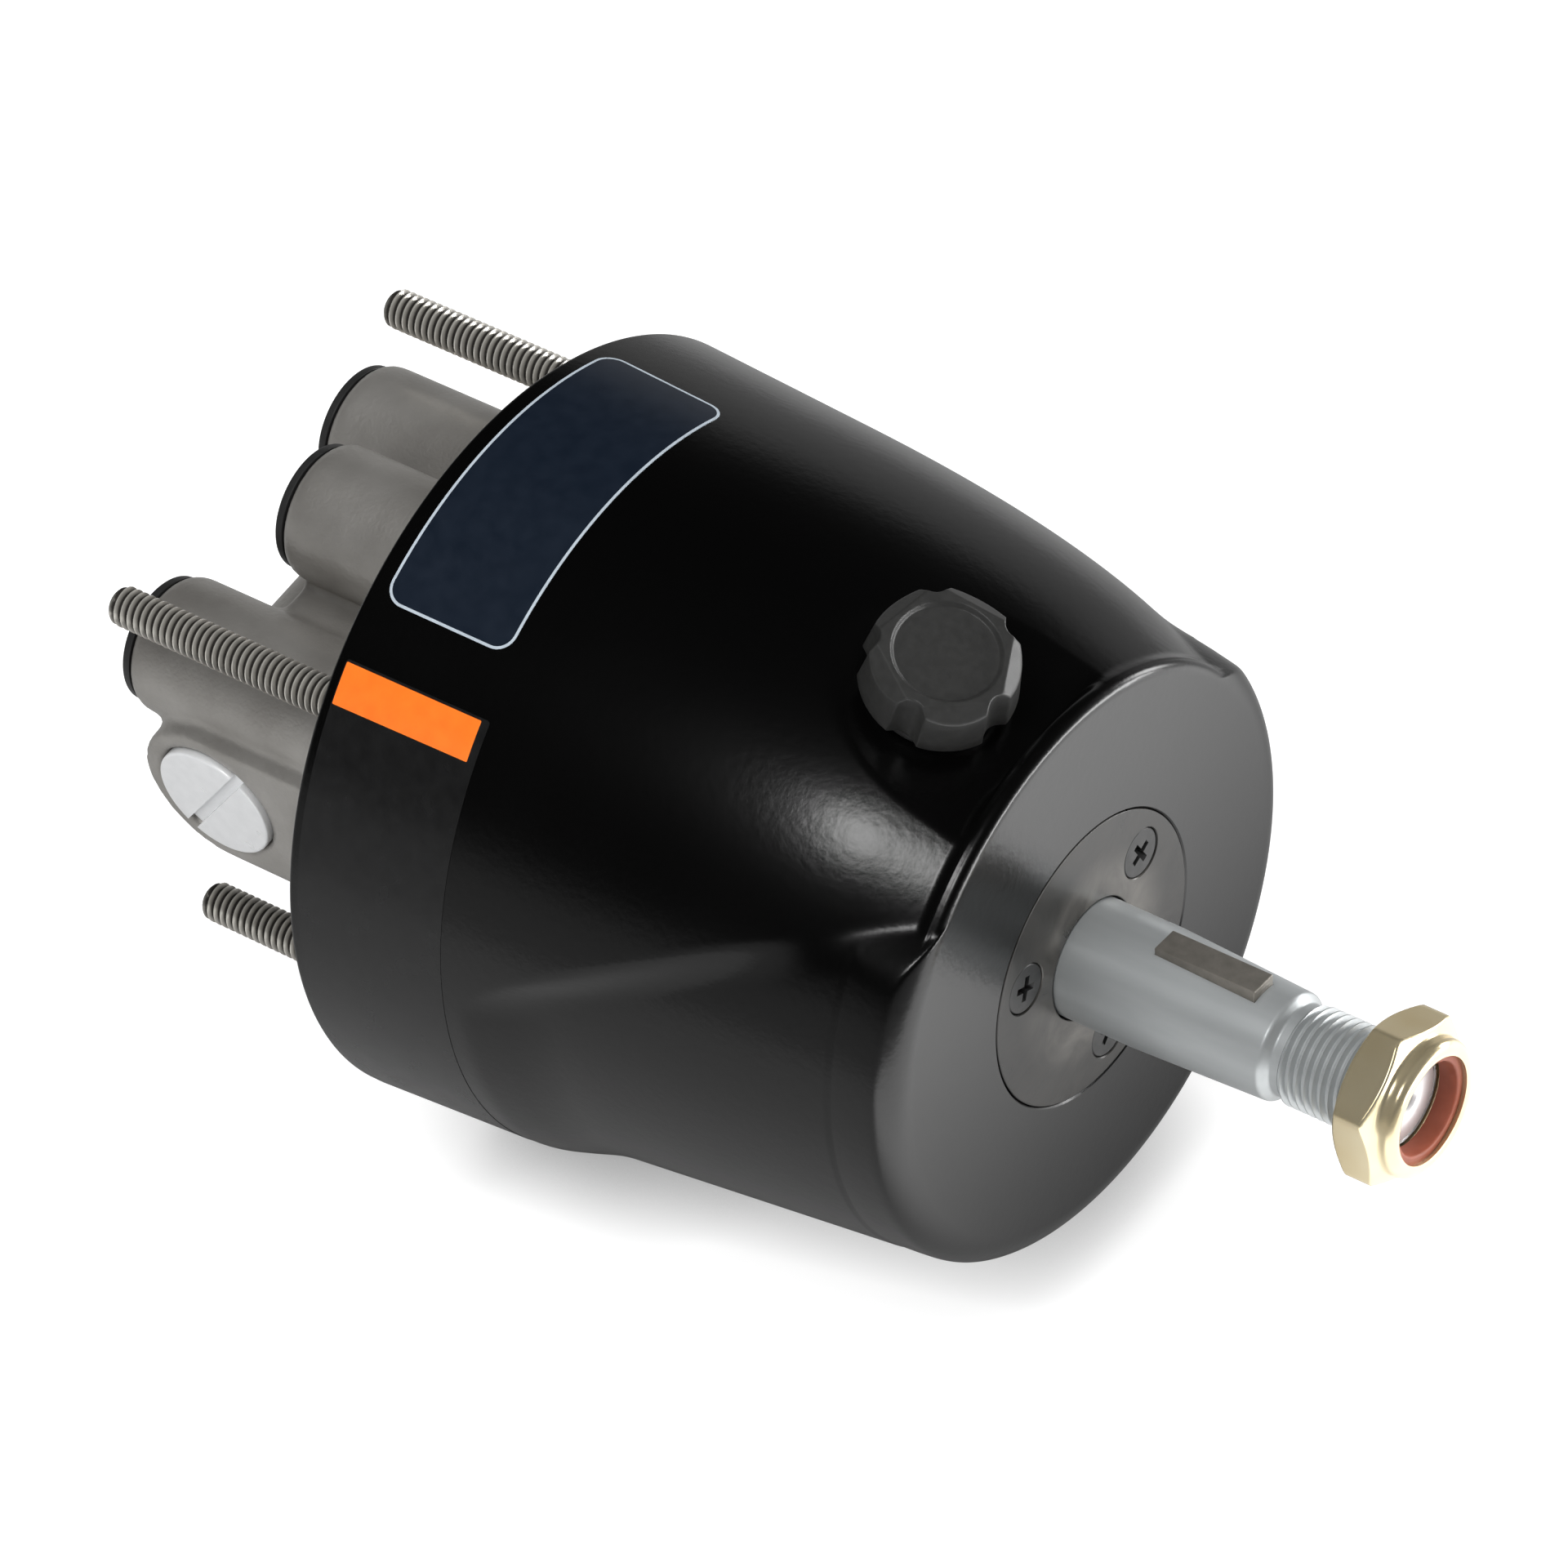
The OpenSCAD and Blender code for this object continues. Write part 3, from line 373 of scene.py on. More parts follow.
def steel(name, dark, pale, roughness, metallic, grain=400, stretch=None, lift=0.00003, root=None, end=None):
    metal = Finish(name, pale, roughness, metallic)
    streak = metal.noise(grain, 3, stretch)
    shade = metal.blend(streak, (*dark, 1), (*pale, 1))
    if root:  # painted shade: darker in the roots of a thread, by the distance from its axis
        aside, low, top, deep = root
        x, z = (metal.axis(number).reckon("ABSOLUTE", 0.0) - aside for number in (0, 2))
        near = metal.fade((x * x + z * z) ** 0.5, low, top, smooth=False)
        shade = metal.blend(near, (*deep, 1), shade)
    if end:  # a bright turned end face
        low, top, bright = end
        near = metal.fade(-1.0 * metal.axis(1), low, top, smooth=False)
        shade = metal.blend(near, shade, (*bright, 1))
    metal.feed("Base Color", shade)
    metal.feed("Roughness", roughness - 0.06 + 0.12 * metal.noise(grain * 0.4, 2, stretch))
    metal.bump(streak, lift, 0.5)
    return metal


def wornPlate():
    worn = Finish("wornPlate", (0.05, 0.05, 0.05), 0.3, 0.2)
    swirl = worn.node("ShaderNodeTexNoise", {},
                      {"Vector": worn.spot(), "Scale": 95.0, "Detail": 3.0, "Distortion": 2.2})
    x, z = worn.axis(0), worn.axis(2)
    near = worn.fade((x * x + z * z) ** 0.5, 0.0115, 0.019, 1.0, 0.25)  # rubbed bare round the shaft
    worn.feed("Base Color", worn.blend(swirl * near, (0.008, 0.008, 0.008, 1), (0.17, 0.16, 0.145, 1)))
    worn.feed("Roughness", 0.2 + 0.25 * swirl)
    worn.bump(swirl, 0.00012, 0.6)
    return worn


def plastic(name, colour, roughness, grain, lift):
    moulded = Finish(name, colour, roughness)
    speckle = moulded.noise(grain, 3)
    pale = tuple(min(1, c * 1.5 + 0.004) for c in colour)
    moulded.feed("Base Color", moulded.blend(speckle, (*colour, 1), (*pale, 1)))
    moulded.feed("Roughness", roughness - 0.05 + 0.1 * moulded.noise(grain * 0.5, 2))
    moulded.bump(speckle, lift, 0.6)
    return moulded


finishes = {
    "paint": blackPaint(),
    "cast": castAluminium(),
    "plate": wornPlate(),
    "screwBlack": steel("blackScrew", (0.02, 0.02, 0.02), (0.06, 0.06, 0.06), 0.4, 0.4, 600),
    # the studs' thread roots get painted shade
    "stud": steel("studSteel", (0.66, 0.63, 0.57), (0.90, 0.87, 0.81), 0.24, 0.7, 300,
                  root=(0.034295, 0.00262, 0.00312, (0.06, 0.056, 0.05))),
    "zinc": steel("zincBolt", (0.45, 0.46, 0.48), (0.62, 0.63, 0.65), 0.35, 0.9, 300),
    "bright": steel("brightPlug", (0.80, 0.81, 0.82), (0.92, 0.93, 0.94), 0.3, 0.3, 500),
    "bearing": steel("bearingSteel", (0.55, 0.56, 0.58), (0.72, 0.73, 0.75), 0.2, 1.0, 300),
    "machined": steel("machinedSteel", (0.40, 0.41, 0.43), (0.58, 0.59, 0.61), 0.35, 1.0, 300),
    "bronze": steel("bronze", (0.42, 0.27, 0.10), (0.60, 0.42, 0.19), 0.35, 1.0, 300),
    "spring": steel("springWire", (0.35, 0.36, 0.38), (0.5, 0.51, 0.53), 0.3, 1.0, 500),
    "shaft": steel("shaftSteel", (0.40, 0.42, 0.425), (0.48, 0.50, 0.505), 0.38, 0.6, 500, (1, 0.15, 1),
                   end=(0.1577, 0.1583, (0.95, 0.95, 0.95))),
    "key": steel("keySteel", (0.16, 0.15, 0.13), (0.30, 0.28, 0.25), 0.5, 0.7, 500),
    "nut": steel("yellowZinc", (0.64, 0.50, 0.26), (0.84, 0.75, 0.53), 0.24, 0.8, 90),
    "nylon": plastic("redNylon", (0.24, 0.06, 0.03), 0.5, 500, 0.00003),
    "cap": plastic("capPlastic", (0.016, 0.016, 0.0155), 0.4, 900, 0.00006),
    "portPlastic": plastic("portPlastic", (0.012, 0.012, 0.012), 0.45, 700, 0.00005),
    "rubber": plastic("sealRubber", (0.012, 0.012, 0.012), 0.6, 500, 0.00003),
    "stickerPale": plastic("stickerPale", (0.30, 0.34, 0.38), 0.35, 400, 0.00001),
    "stickerNavy": plastic("stickerNavy", (0.0035, 0.0065, 0.0125), 0.3, 400, 0.00001),
    "stickerOrange": plastic("stickerOrange", (0.70, 0.125, 0.006), 0.35, 400, 0.00001),
    "filmBlack": plastic("filmBlack", (0.0045, 0.0045, 0.0046), 0.26, 400, 0.00001),
}
print("finishes ready:", len(finishes))

# filler cap and pad share this place
pad = {"centre": (0, -83.0, 49.069), "tilt": 22.0, "hole": 7.3, "holeDeep": 15.0, "holeTop": 3.0}
padTilt = math.radians(pad["tilt"])
padFrame = axisFrame(pad["centre"], (0, -math.sin(padTilt), math.cos(padTilt)), (1, 0, 0))

# front housing: one closed skin over the hood, the recessed drum, the nose, the filler pad and the bead
housing = {
    "rim": 61.0, "taper": 3.4, "rimEdge": 0.8,
    "band": 31.0, "ramp": 10.5, "recess": 2.3, "drumTaper": 6.1,
    "flankAt": 17.0, "flankRise": 0.57, "flankWide": 4.8, "flankFrom": 40.0,  # hood's lower edge, in degrees
    "rightAt": 13.0, "rightRise": 0.28, "frontWide": 0.4, "frontFrom": 92.0,
    "shareSoft": 0.9, "footSoft": 0.12, "topSoft": 0.4,  # how softly the hood runs into the drum
    "kneeFrom": 32.0, "knee": 70.0, "kneeFront": 20.0,
    "foot": 46.89, "footAt": 97.3, "length": 102.5,
    "edgeRound": 6.0, "edgeFoot": 44.2, "edgeSoft": 0.4,  # the drum rolls over into the flat face
    "beadFoot": 44.4, "bead": 1.9, "beadSteps": 14, "crownSoft": 0.15,
    "cove": 1.7, "coveAt": 100.0, "coveOver": 1.1, "coveLeast": 0.02, "skinShare": 0.95,
    "seekIn": 0.5, "seekOut": 6.0, "seekSteps": 26,  # where the skin over the bead is sought
    "padEdge": 0.3, "padRise": 25.0, "padNear": 3.0, "farOff": 500.0,
    "flatRings": (43, 40, 35, 30, 26), "recessWall": 23.65, "recessEdge": 0.25, "plateDeep": 4.5,
    "sealBore": 13.5, "sealDeep": 10.5, "bearingBore": 18.5, "bearingRear": 79.4, "bearingWall": 22.5,
    "seatBore": 42.45, "seatDeep": 12.0, "seatEdge": 0.3, "chamber": 39.4, "chamberDeep": 94.0, "rearFlat": 8.0,
    "skinRings": ((0.8, 27, 2.6), (27, 45, 0.75), (45, 64, 1.2), (64, 92, 0.55)),  # start, end and step
    "beadRings": ((92, 97.2, 0.4), (97.2, 100.54, 0.13)),
    "fineFrom": 62.0, "fineTo": 118.0, "fineStep": 0.28, "coarseStep": 0.9,
}


def coneRadius(d):
    return housing["rim"] - d * math.tan(math.radians(housing["taper"]))


def hoodRadius(d):
    # straight rear end, a long round knee and a straight nose
    h = housing
    start, knee, end = h["kneeFrom"], h["knee"], h["knee"] + h["kneeFront"]
    slope = (coneRadius(knee) - h["foot"]) / (h["footAt"] - knee)
    nose = coneRadius(knee) - (d - knee) * slope
    bend = start - 2 * knee + end
    t = (knee - start - np.sqrt(np.maximum((knee - start) ** 2 - bend * (start - d), 0))) / -bend
    last = coneRadius(knee) - h["kneeFront"] * slope
    bent = coneRadius(start) * (1 - t) ** 2 + 2 * coneRadius(knee) * t * (1 - t) + last * t * t
    return np.where(d < start, coneRadius(d), np.where(d > end, nose, bent))


def skinRadius(d, angle):
    # d is the distance in front of the mounting face, angle is from +X in degrees
    h = housing
    upper = hoodRadius(d)
    lower = coneRadius(h["band"]) - h["recess"] - (d - h["band"]) * math.tan(math.radians(h["drumTaper"]))
    rise = 90 - abs((angle + 360) % 360 - 90)  # degrees above the horizontal, on either side
    rise = np.where(rise < -90, -180 - rise, rise)
    right = np.cos(np.radians(angle)) > 0
    along = d - h["flankFrom"]
    line = np.where(right, h["rightAt"] + h["rightRise"] * along, h["flankAt"] + h["flankRise"] * along)
    below = (line - rise) * np.pi / 180 * upper
    wide = h["flankWide"] + h["frontWide"] * np.maximum(d - h["frontFrom"], 0)
    share = softMin((d - h["band"]) / h["ramp"], below / wide, h["shareSoft"])
    share = softMin(softMax(share, 0.0 * share, h["footSoft"]), 1.0 + 0.0 * share, h["topSoft"])
    share = np.clip(share, 0, 1)
    radius = upper * (1 - share) + lower * share
    high = pad["centre"][2] - (d + pad["centre"][1]) * math.tan(padTilt)
    steep = np.sin(np.radians(np.clip(rise, h["padRise"], 90)))
    flat = np.where(rise > h["padRise"], high / steep, h["farOff"])
    return np.where(flat < radius + h["padNear"], softMin(radius, flat, h["padEdge"]), radius)


def frontSkin(d, angle):
    h = housing
    past = np.clip(d - h["length"] + h["edgeRound"], 0, h["edgeRound"])
    edge = h["edgeFoot"] + np.sqrt(h["edgeRound"] ** 2 - past ** 2)
    return softMin(skinRadius(d + 0.0 * angle, angle), edge + 0.0 * angle, h["edgeSoft"])


def beadRadius(d, angle):
    # the skin where it runs into the round bead, with a cove where the skin lies low
    h = housing
    skin, foot = frontSkin(d, angle), frontSkin(h["coveAt"], angle)
    deep = np.clip((h["beadFoot"] + h["bead"] + h["coveOver"] - foot) / h["bead"], 0, 1)
    reach = h["coveLeast"] + h["cove"] * deep
    low, top = skin - h["seekIn"], skin + h["seekOut"]
    for step in range(h["seekSteps"]):
        middle = (low + top) / 2
        bead = np.hypot(d - h["length"] + h["bead"], middle - h["beadFoot"]) - h["bead"]
        inside = softMin(h["skinShare"] * (middle - skin), bead, reach) < 0
        low, top = np.where(inside, middle, low), np.where(inside, top, middle)
    return (low + top) / 2


def spaced(rings):
    return np.concatenate([np.arange(*row) for row in rings])


def makeHousing():
    h = housing
    angle = np.concatenate([np.arange(h["fineFrom"], h["fineTo"], h["fineStep"]),
                            np.arange(h["fineTo"], h["fineFrom"] + 360, h["coarseStep"])])
    edge, mid = h["rimEdge"], h["length"] - h["bead"]
    rows = []
    for step in range(5):  # rear rim's edge
        a = math.radians(-90 + 18 * step)
        rows.append((h["rim"] - edge + edge * math.cos(a), edge + edge * math.sin(a)))
    for d in spaced(h["skinRings"]):
        rows.append((skinRadius(d + 0.0 * angle, angle), d))
    for d in [*spaced(h["beadRings"]), mid]:
        rows.append((beadRadius(d, angle), d))
    for step in range(1, h["beadSteps"] + 1):
        a = np.pi / 2 * step / h["beadSteps"]
        d = mid + h["bead"] * math.sin(a)
        crown = h["beadFoot"] + h["bead"] * math.cos(a) + 0.0 * angle
        rows.append((softMax(frontSkin(d, angle), crown, h["crownSoft"]), d))
    flat = h["length"]
    rows += [(r, flat) for r in (*h["flatRings"], h["recessWall"] + h["recessEdge"])]
    rows += [(h["recessWall"], flat - h["recessEdge"]), (h["recessWall"], flat - h["plateDeep"])]
    rows += [(h["sealBore"], flat - h["plateDeep"]), (h["sealBore"], flat - h["sealDeep"])]
    rows += [(h["bearingBore"], flat - h["sealDeep"]), (h["bearingBore"], h["bearingRear"])]
    rows += [(h["bearingWall"], h["bearingRear"]), (h["bearingWall"], h["chamberDeep"])]
    rows += [(h["chamber"], h["chamberDeep"]), (h["chamber"], h["seatDeep"])]
    rows += [(h["seatBore"], h["seatDeep"]), (h["seatBore"], h["seatEdge"])]
    rows += [(h["seatBore"] + h["seatEdge"], 0), (h["rim"] - h["rearFlat"], 0)]
    points, faces = turned(rows, len(angle), True, np.radians(angle))
    piece = solid("frontHousing", points, faces, shaftFrame, 40)
    points, faces = turned([(pad["hole"], -pad["holeDeep"]), (pad["hole"], pad["holeTop"])], 96)
    carved(piece, solid("fillerHole", points, faces, padFrame, 40), sharp=40)
    print("housing skin:", len(piece.data.polygons), "faces")
    return dress(piece, "housing", "housing_paint", finishes["paint"], "front_housing")


makeHousing()

# stickers on the band: a thin film that follows the cone, in distance from the rear face and degrees from +X
stickers = {
    "sink": 0.05, "rows": 26,
    "laid": [
        # name, distances, angles, corner, inset, lift, finish
        ("makerStickerEdge", (3.0, 25.6), (61.8, 116.6), 3.2, 0.0, 0.09, "stickerPale"),
        ("makerStickerFace", (3.0, 25.6), (61.8, 116.6), 3.2, 0.45, 0.11, "stickerNavy"),  # left without words
        ("cautionFilm", (1.8, 27.6), (126.0, 246.0), 0.6, 0.0, 0.07, "filmBlack"),
        ("cautionField", (2.0, 26.2), (126.4, 132.6), 0.2, 0.0, 0.1, "stickerOrange"),  # a plain colour field
    ],
}


def makeSticker(name, d, turn, corner, inset, lift):
    cone = coneRadius((d[0] + d[1]) / 2)
    half = math.radians(turn[1] - turn[0]) / 2 * cone - inset
    low, top, middle = d[0] + inset, d[1] - inset, (turn[0] + turn[1]) / 2
    corner = max(corner - inset, 0.05)
    ends = half - corner + corner * np.sin(np.linspace(0, np.pi / 2, 9))
    between = np.linspace(-half + corner, half - corner, max(24, int(half)))[1:-1]
    across = np.concatenate([-ends[::-1], between, ends])
    rowCount = stickers["rows"]
    points, faces = [], []
    for x in across:
        over = max(abs(x) - (half - corner), 0)
        cut = corner - math.sqrt(max(corner ** 2 - over ** 2, 0))
        for row in range(rowCount):
            share = min(max((row - 1) / (rowCount - 3), 0), 1)
            spread = low + cut + (top - low - 2 * cut) * share
            radius = coneRadius(spread) + (lift if 0 < row < rowCount - 1 else -stickers["sink"])
            angle = math.radians(middle) + x / cone
            points.append((radius * math.cos(angle), radius * math.sin(angle), spread))
    for col in range(len(across) - 1):
        for row in range(rowCount - 1):
            here = col * rowCount + row
            faces.append((here, here + rowCount, here + rowCount + 1, here + 1))
    return solid(name, points, faces, shaftFrame, 40)


def makeStickers():
    for name, d, turn, corner, inset, lift, finish in stickers["laid"]:
        film = makeSticker(name, d, turn, corner, inset, lift)
        dress(film, "housing", "housing_paint", finishes[finish])
    print("stickers laid")


makeStickers()

# screw threads: a strip wound along a helix, local z along the axis
threads = {"shares": (0.0, 0.16, 0.47, 0.69), "drops": (0, 0, 1, 1), "runOut": 0.6, "faded": 0.75}  # crest, then root


def threadStrip(major, depth, pitch, low, top, perTurn=32):
    shares, drops, runOut = threads["shares"], threads["drops"], threads["runOut"]
    m = len(shares)
    turns = int(math.ceil((top - low) / pitch)) + 2
    points, faces = [], []
    for row in range(turns * m):
        for col in range(perTurn):
            z = low + (row // m - 1 + shares[row % m] + col / perTurn) * pitch
            fade = min(max((z - low) / runOut, 0), 1) * min(max((top - z) / runOut, 0), 1)
            r = major - depth * max(drops[row % m], threads["faded"] * (1 - fade))
            z = min(max(z, low), top)
            a = 2 * math.pi * col / perTurn
            points.append((r * math.cos(a), r * math.sin(a), z))
    for row in range(turns * m - 1):
        for col in range(perTurn):
            here, above = row * perTurn + col, (row + 1) * perTurn + col
            if col + 1 < perTurn:
                faces.append((here, here + 1, above + 1, above))
            elif row + 1 + m < turns * m:
                faces.append((here, (row + m) * perTurn, (row + 1 + m) * perTurn, above))
    return points, faces


# mounting studs
studs = {
    "circle": 97.0, "angles": (45, 135, 225, 315), "major": 3.175, "depth": 0.62, "pitch": 1.27,
    "out": 47.3, "buried": 12.0, "threadFrom": -1.0, "coreIn": 0.05, "tip": 0.35, "tipIn": 0.1, "tipRound": 0.4,
}


def makeStuds():
    s, made = studs, []
    root, shoulder = s["major"] - s["depth"] - s["coreIn"], s["out"] - s["tip"]
    core = rounded([(root, -s["buried"]), (root, shoulder), (root - s["tipIn"], s["out"]), (axisEnd, s["out"])],
                   [0.0, s["tipRound"]])
    for angle in s["angles"]:
        a = math.radians(angle)
        spot = (s["circle"] / 2 * math.cos(a), 0, s["circle"] / 2 * math.sin(a))
        place = axisFrame(spot, (0, 1, 0), (1, 0, 0))
        points, faces = threadStrip(s["major"], s["depth"], s["pitch"], s["threadFrom"], shoulder)
        made.append(solid("studThread", points, faces, place, 28))
        points, faces = turned([(axisEnd, -s["buried"])] + core, 32)
        made.append(solid("studCore", points, faces, place, 40))
    dress(joined("studSet", made), "housing", "stud_steel", finishes["stud"], "mounting_studs")
    print("studs threaded")


makeStuds()

# steering shaft with its thread, key seat and centre hole
shaft = {
    "profile": [
        (axisEnd, 6.0), (5.4, 6.0), (5.4, 16.0), (5.4, 52.0), (8.0, 52.0), (8.0, 77.4), (12.0, 77.4), (12.0, 81.4),
        (10.0, 81.4), (10.0, 90.4), (9.525, 91.0), (9.525, 102.0), (9.525, 114.2), (8.533, 138.0), (7.25, 139.1),
        (7.25, 140.9), (7.05, 141.0)],
    "round": [0.2, 0.2, 0, 0.2, 0.3, 0.3, 0.4, 0.4, 0.2, 0.2, 0.2, 0, 0.5, 0.35, 0.3, 0],
    "endRows": [  # radius and distance from the end, down into the centre hole
        (7.05, -0.6), (6.7, -0.12), (6.45, 0.0), (2.8, 0.0), (2.5, -0.15), (0.9, -2.6), (0.6, -4.0), (axisEnd, -4.0)],
    "threadMajor": 7.9375, "threadDepth": 0.74, "pitch": 1.411, "threadFrom": 140.7, "threadTo": 158.55, "end": 158.7,
    "hex": 14.0, "hexFrom": 17.05, "hexTo": 52.03, "hexIn": 0.6, "hexRise": 0.4, "hexRound": 0.3,
    "keyTurn": -9.5, "keyWide": 4.76, "keyFloor": 5.59, "keyTop": 10.35, "keyFrom": 115.9, "keyLong": 17.8,
    "keyGap": 0.02, "keyOpen": 3.0, "keyEdge": 0.22,
}


def box(name, low, top, place=None, edge=0.0):
    x, y, z = zip(low, top)
    points = [(x[i], y[j], z[k]) for i in (0, 1) for j in (0, 1) for k in (0, 1)]
    faces = [(0, 1, 3, 2), (4, 6, 7, 5), (0, 4, 5, 1), (2, 3, 7, 6), (0, 2, 6, 4), (1, 5, 7, 3)]
    piece = solid(name, points, faces, place, 30)
    if edge:
        bevel = piece.modifiers.new("edge", "BEVEL")
        bevel.width, bevel.segments, bevel.limit_method = edge / 1000, 3, "NONE"
        settled(piece)
        piece.data.shade_smooth()
        piece.data.set_sharp_from_angle(angle=math.radians(50))
    return piece


def makeShaft():
    sh = shaft
    body = rounded(sh["profile"], sh["round"], 4)
    body += [(radius, sh["end"] + at) for radius, at in sh["endRows"]]
    points, faces = turned(body, 128)
    piece = solid("shaftBody", points, faces, shaftFrame, 32)
    turn = shaftFrame @ Matrix.Rotation(math.radians(sh["keyTurn"]), 4, "Z")
    half, gap, keyEnd = sh["keyWide"] / 2, sh["keyGap"], sh["keyFrom"] + sh["keyLong"]
    seat = box("keySeat", (-half - gap, sh["keyFloor"] - gap, sh["keyFrom"] - gap),
               (half + gap, sh["keyTop"] + sh["keyOpen"], keyEnd + gap), turn)
    carved(piece, seat)
    points, faces = threadStrip(sh["threadMajor"], sh["threadDepth"], sh["pitch"], sh["threadFrom"], sh["threadTo"], 48)
    thread = solid("shaftThread", points, faces, shaftFrame, 28)
    corner = sh["hex"] / 2 / math.cos(math.pi / 6)
    rows = rounded([(corner - sh["hexIn"], sh["hexFrom"]), (corner, sh["hexFrom"] + sh["hexRise"]),
                    (corner, sh["hexTo"])], [sh["hexRound"]])
    points, faces = turned(rows, 6)
    drive = solid("shaftDrive", points, faces, shaftFrame, 30)
    whole = joined("steeringShaft", [piece, thread, drive])
    dress(whole, "shaft", "shaft_steel", finishes["shaft"], "steering_shaft")
    key = box("shaftKey", (-half, sh["keyFloor"], sh["keyFrom"]), (half, sh["keyTop"], keyEnd), turn, sh["keyEdge"])
    dress(key, "shaft", "key_steel", finishes["key"], "shaft_key")
    print("shaft turned")


makeShaft()

# wheel nut: a hexagon turned off at its corners, with a rolled collar over a coloured insert
nut = {
    "flats": 23.81, "rear": 153.5, "hexHigh": 6.6, "front": 163.3, "turn": 30, "corner": 0.55,
    "cone": 12.05, "coneRise": 0.5, "collar": 10.84, "collarRound": 1.5, "lip": 8.75, "bore": 7.99,
    "insertInner": 7.35, "insertOuter": 9.5, "insertRear": 159.1, "insertFront": 162.35, "columns": 240,
    "cornerIn": 0.12, "coneIn": 0.45, "coneSoft": 0.35, "coneNear": 1.4, "coneFar": 1.9, "fillet": 0.7,
    "lipDeep": 0.75, "insertGap": 0.05, "insertLap": 0.3, "boreFrom": 3.0, "boreLong": 5.6, "boreEdge": 0.8,
}


def makeNut():
    n = nut
    angle = np.arange(n["columns"]) * 2 * np.pi / n["columns"] - math.radians(n["turn"])
    flat = np.abs((angle % (np.pi / 3)) - np.pi / 6)
    hexagon = n["flats"] / 2 / np.cos(flat)
    hexagon = softMin(hexagon, n["flats"] / 2 / math.cos(np.pi / 6) - n["cornerIn"] + 0 * hexagon, n["corner"])
    rear, high, collar, fillet = n["rear"], n["hexHigh"], n["collar"], n["fillet"]
    top, bore, edge = rear + high, n["bore"], n["boreEdge"]
    rows = [(bore, rear + n["boreFrom"]), (bore, rear + edge), (bore + edge, rear)]
    ends = np.linspace(0, n["coneNear"], 9)
    for z in [*ends, *np.linspace(n["coneFar"], high - n["coneFar"], 5), *(high - n["coneNear"] + ends)]:
        cone = n["cone"] - n["coneIn"] + min(z, high - z) / n["coneRise"]
        rows.append((softMin(hexagon, cone + 0 * hexagon, n["coneSoft"]), rear + z))
    rows += [(collar + fillet, top + 0.02), (collar + fillet * 0.35, top + fillet * 0.3), (collar, top + fillet)]
    r = n["collarRound"]
    for step in range(13):
        a = math.radians(-10 + 130 * step / 12)
        rows.append((collar - r + r * math.cos(a), n["front"] - r + r * math.sin(a)))
    under = n["insertFront"] - n["insertGap"]
    rows += [(n["lip"], n["front"] - n["lipDeep"]), (n["lip"], under)]
    rows += [(n["insertOuter"] - n["insertLap"], under), (bore, rear + n["boreLong"])]
    points, faces = turned(rows, n["columns"], closed=True)
    piece = solid("wheelNut", points, faces, shaftFrame, 60)
    dress(piece, "shaft", "nut_zinc", finishes["nut"], "wheel_nut")
    inner, outer, back, front = n["insertInner"], n["insertOuter"], n["insertRear"], n["insertFront"]
    ring = rounded([(inner, back), (inner, front), (outer, front), (outer, back), (inner, back)], [0.5, 0.2, 0.1])
    points, faces = turned(ring[:-1], 96, closed=True)
    dress(solid("nutInsert", points, faces, shaftFrame, 40), "shaft", "nut_nylon", finishes["nylon"], "nut_insert")
    print("nut formed")


makeNut()

# filler cap: five lobes, each sloped off on top, around a shallow dish; local z along the pad's normal
cap = {
    "reach": 11.9, "flare": 0.7, "low": 3.2, "top": 12.03, "lobes": 5, "turn": 8.0,
    "notch": 2.8, "notchOut": 1.4, "edge": 0.7, "slopeAt": 8.95, "slope": 0.85, "crisp": 0.16, "lip": 0.3,
    "dish": 7.9, "dishDeep": 0.75, "dishEdge": 0.55, "dishWide": 0.88,
    "dishRings": (6.6, 5, 3, 1.2, 0.05), "dishSag": 0.1, "dishFlat": 6.8,
    "notchFlare": 0.6, "notchSoft": 0.9, "farOff": 99.0, "columns": 360,
    "stemRows": [(6.6, -9.0), (7.0, -8.4), (7.0, 1.8), (9.4, 2.0), (9.8, 2.3), (9.8, 3.2)],  # stem and neck, upwards
}


def capOutline(angle, reach):
    # distance to the lobed edge along each direction
    c = cap
    step = 2 * np.pi / c["lobes"]
    away = (angle - math.radians(c["turn"])) % step - step / 2  # angle from the middle of the nearest notch
    centre = c["reach"] + c["notchOut"]
    inside = np.maximum(c["notch"] ** 2 - (centre * np.sin(away)) ** 2, 0)
    notch = np.where(np.abs(centre * np.sin(away)) < c["notch"], centre * np.cos(away) - np.sqrt(inside), c["farOff"])
    return softMin(reach + 0 * angle, notch + (reach - c["reach"]) * c["notchFlare"], c["notchSoft"])


def capRoof(radius, lobe):
    # height of the top over a point, with a flat slope on each lobe
    c = cap
    sloped = c["top"] - (radius * np.cos(lobe) - c["slopeAt"]) * c["slope"]
    return softMin(sloped, c["top"] + 0 * sloped, c["crisp"])


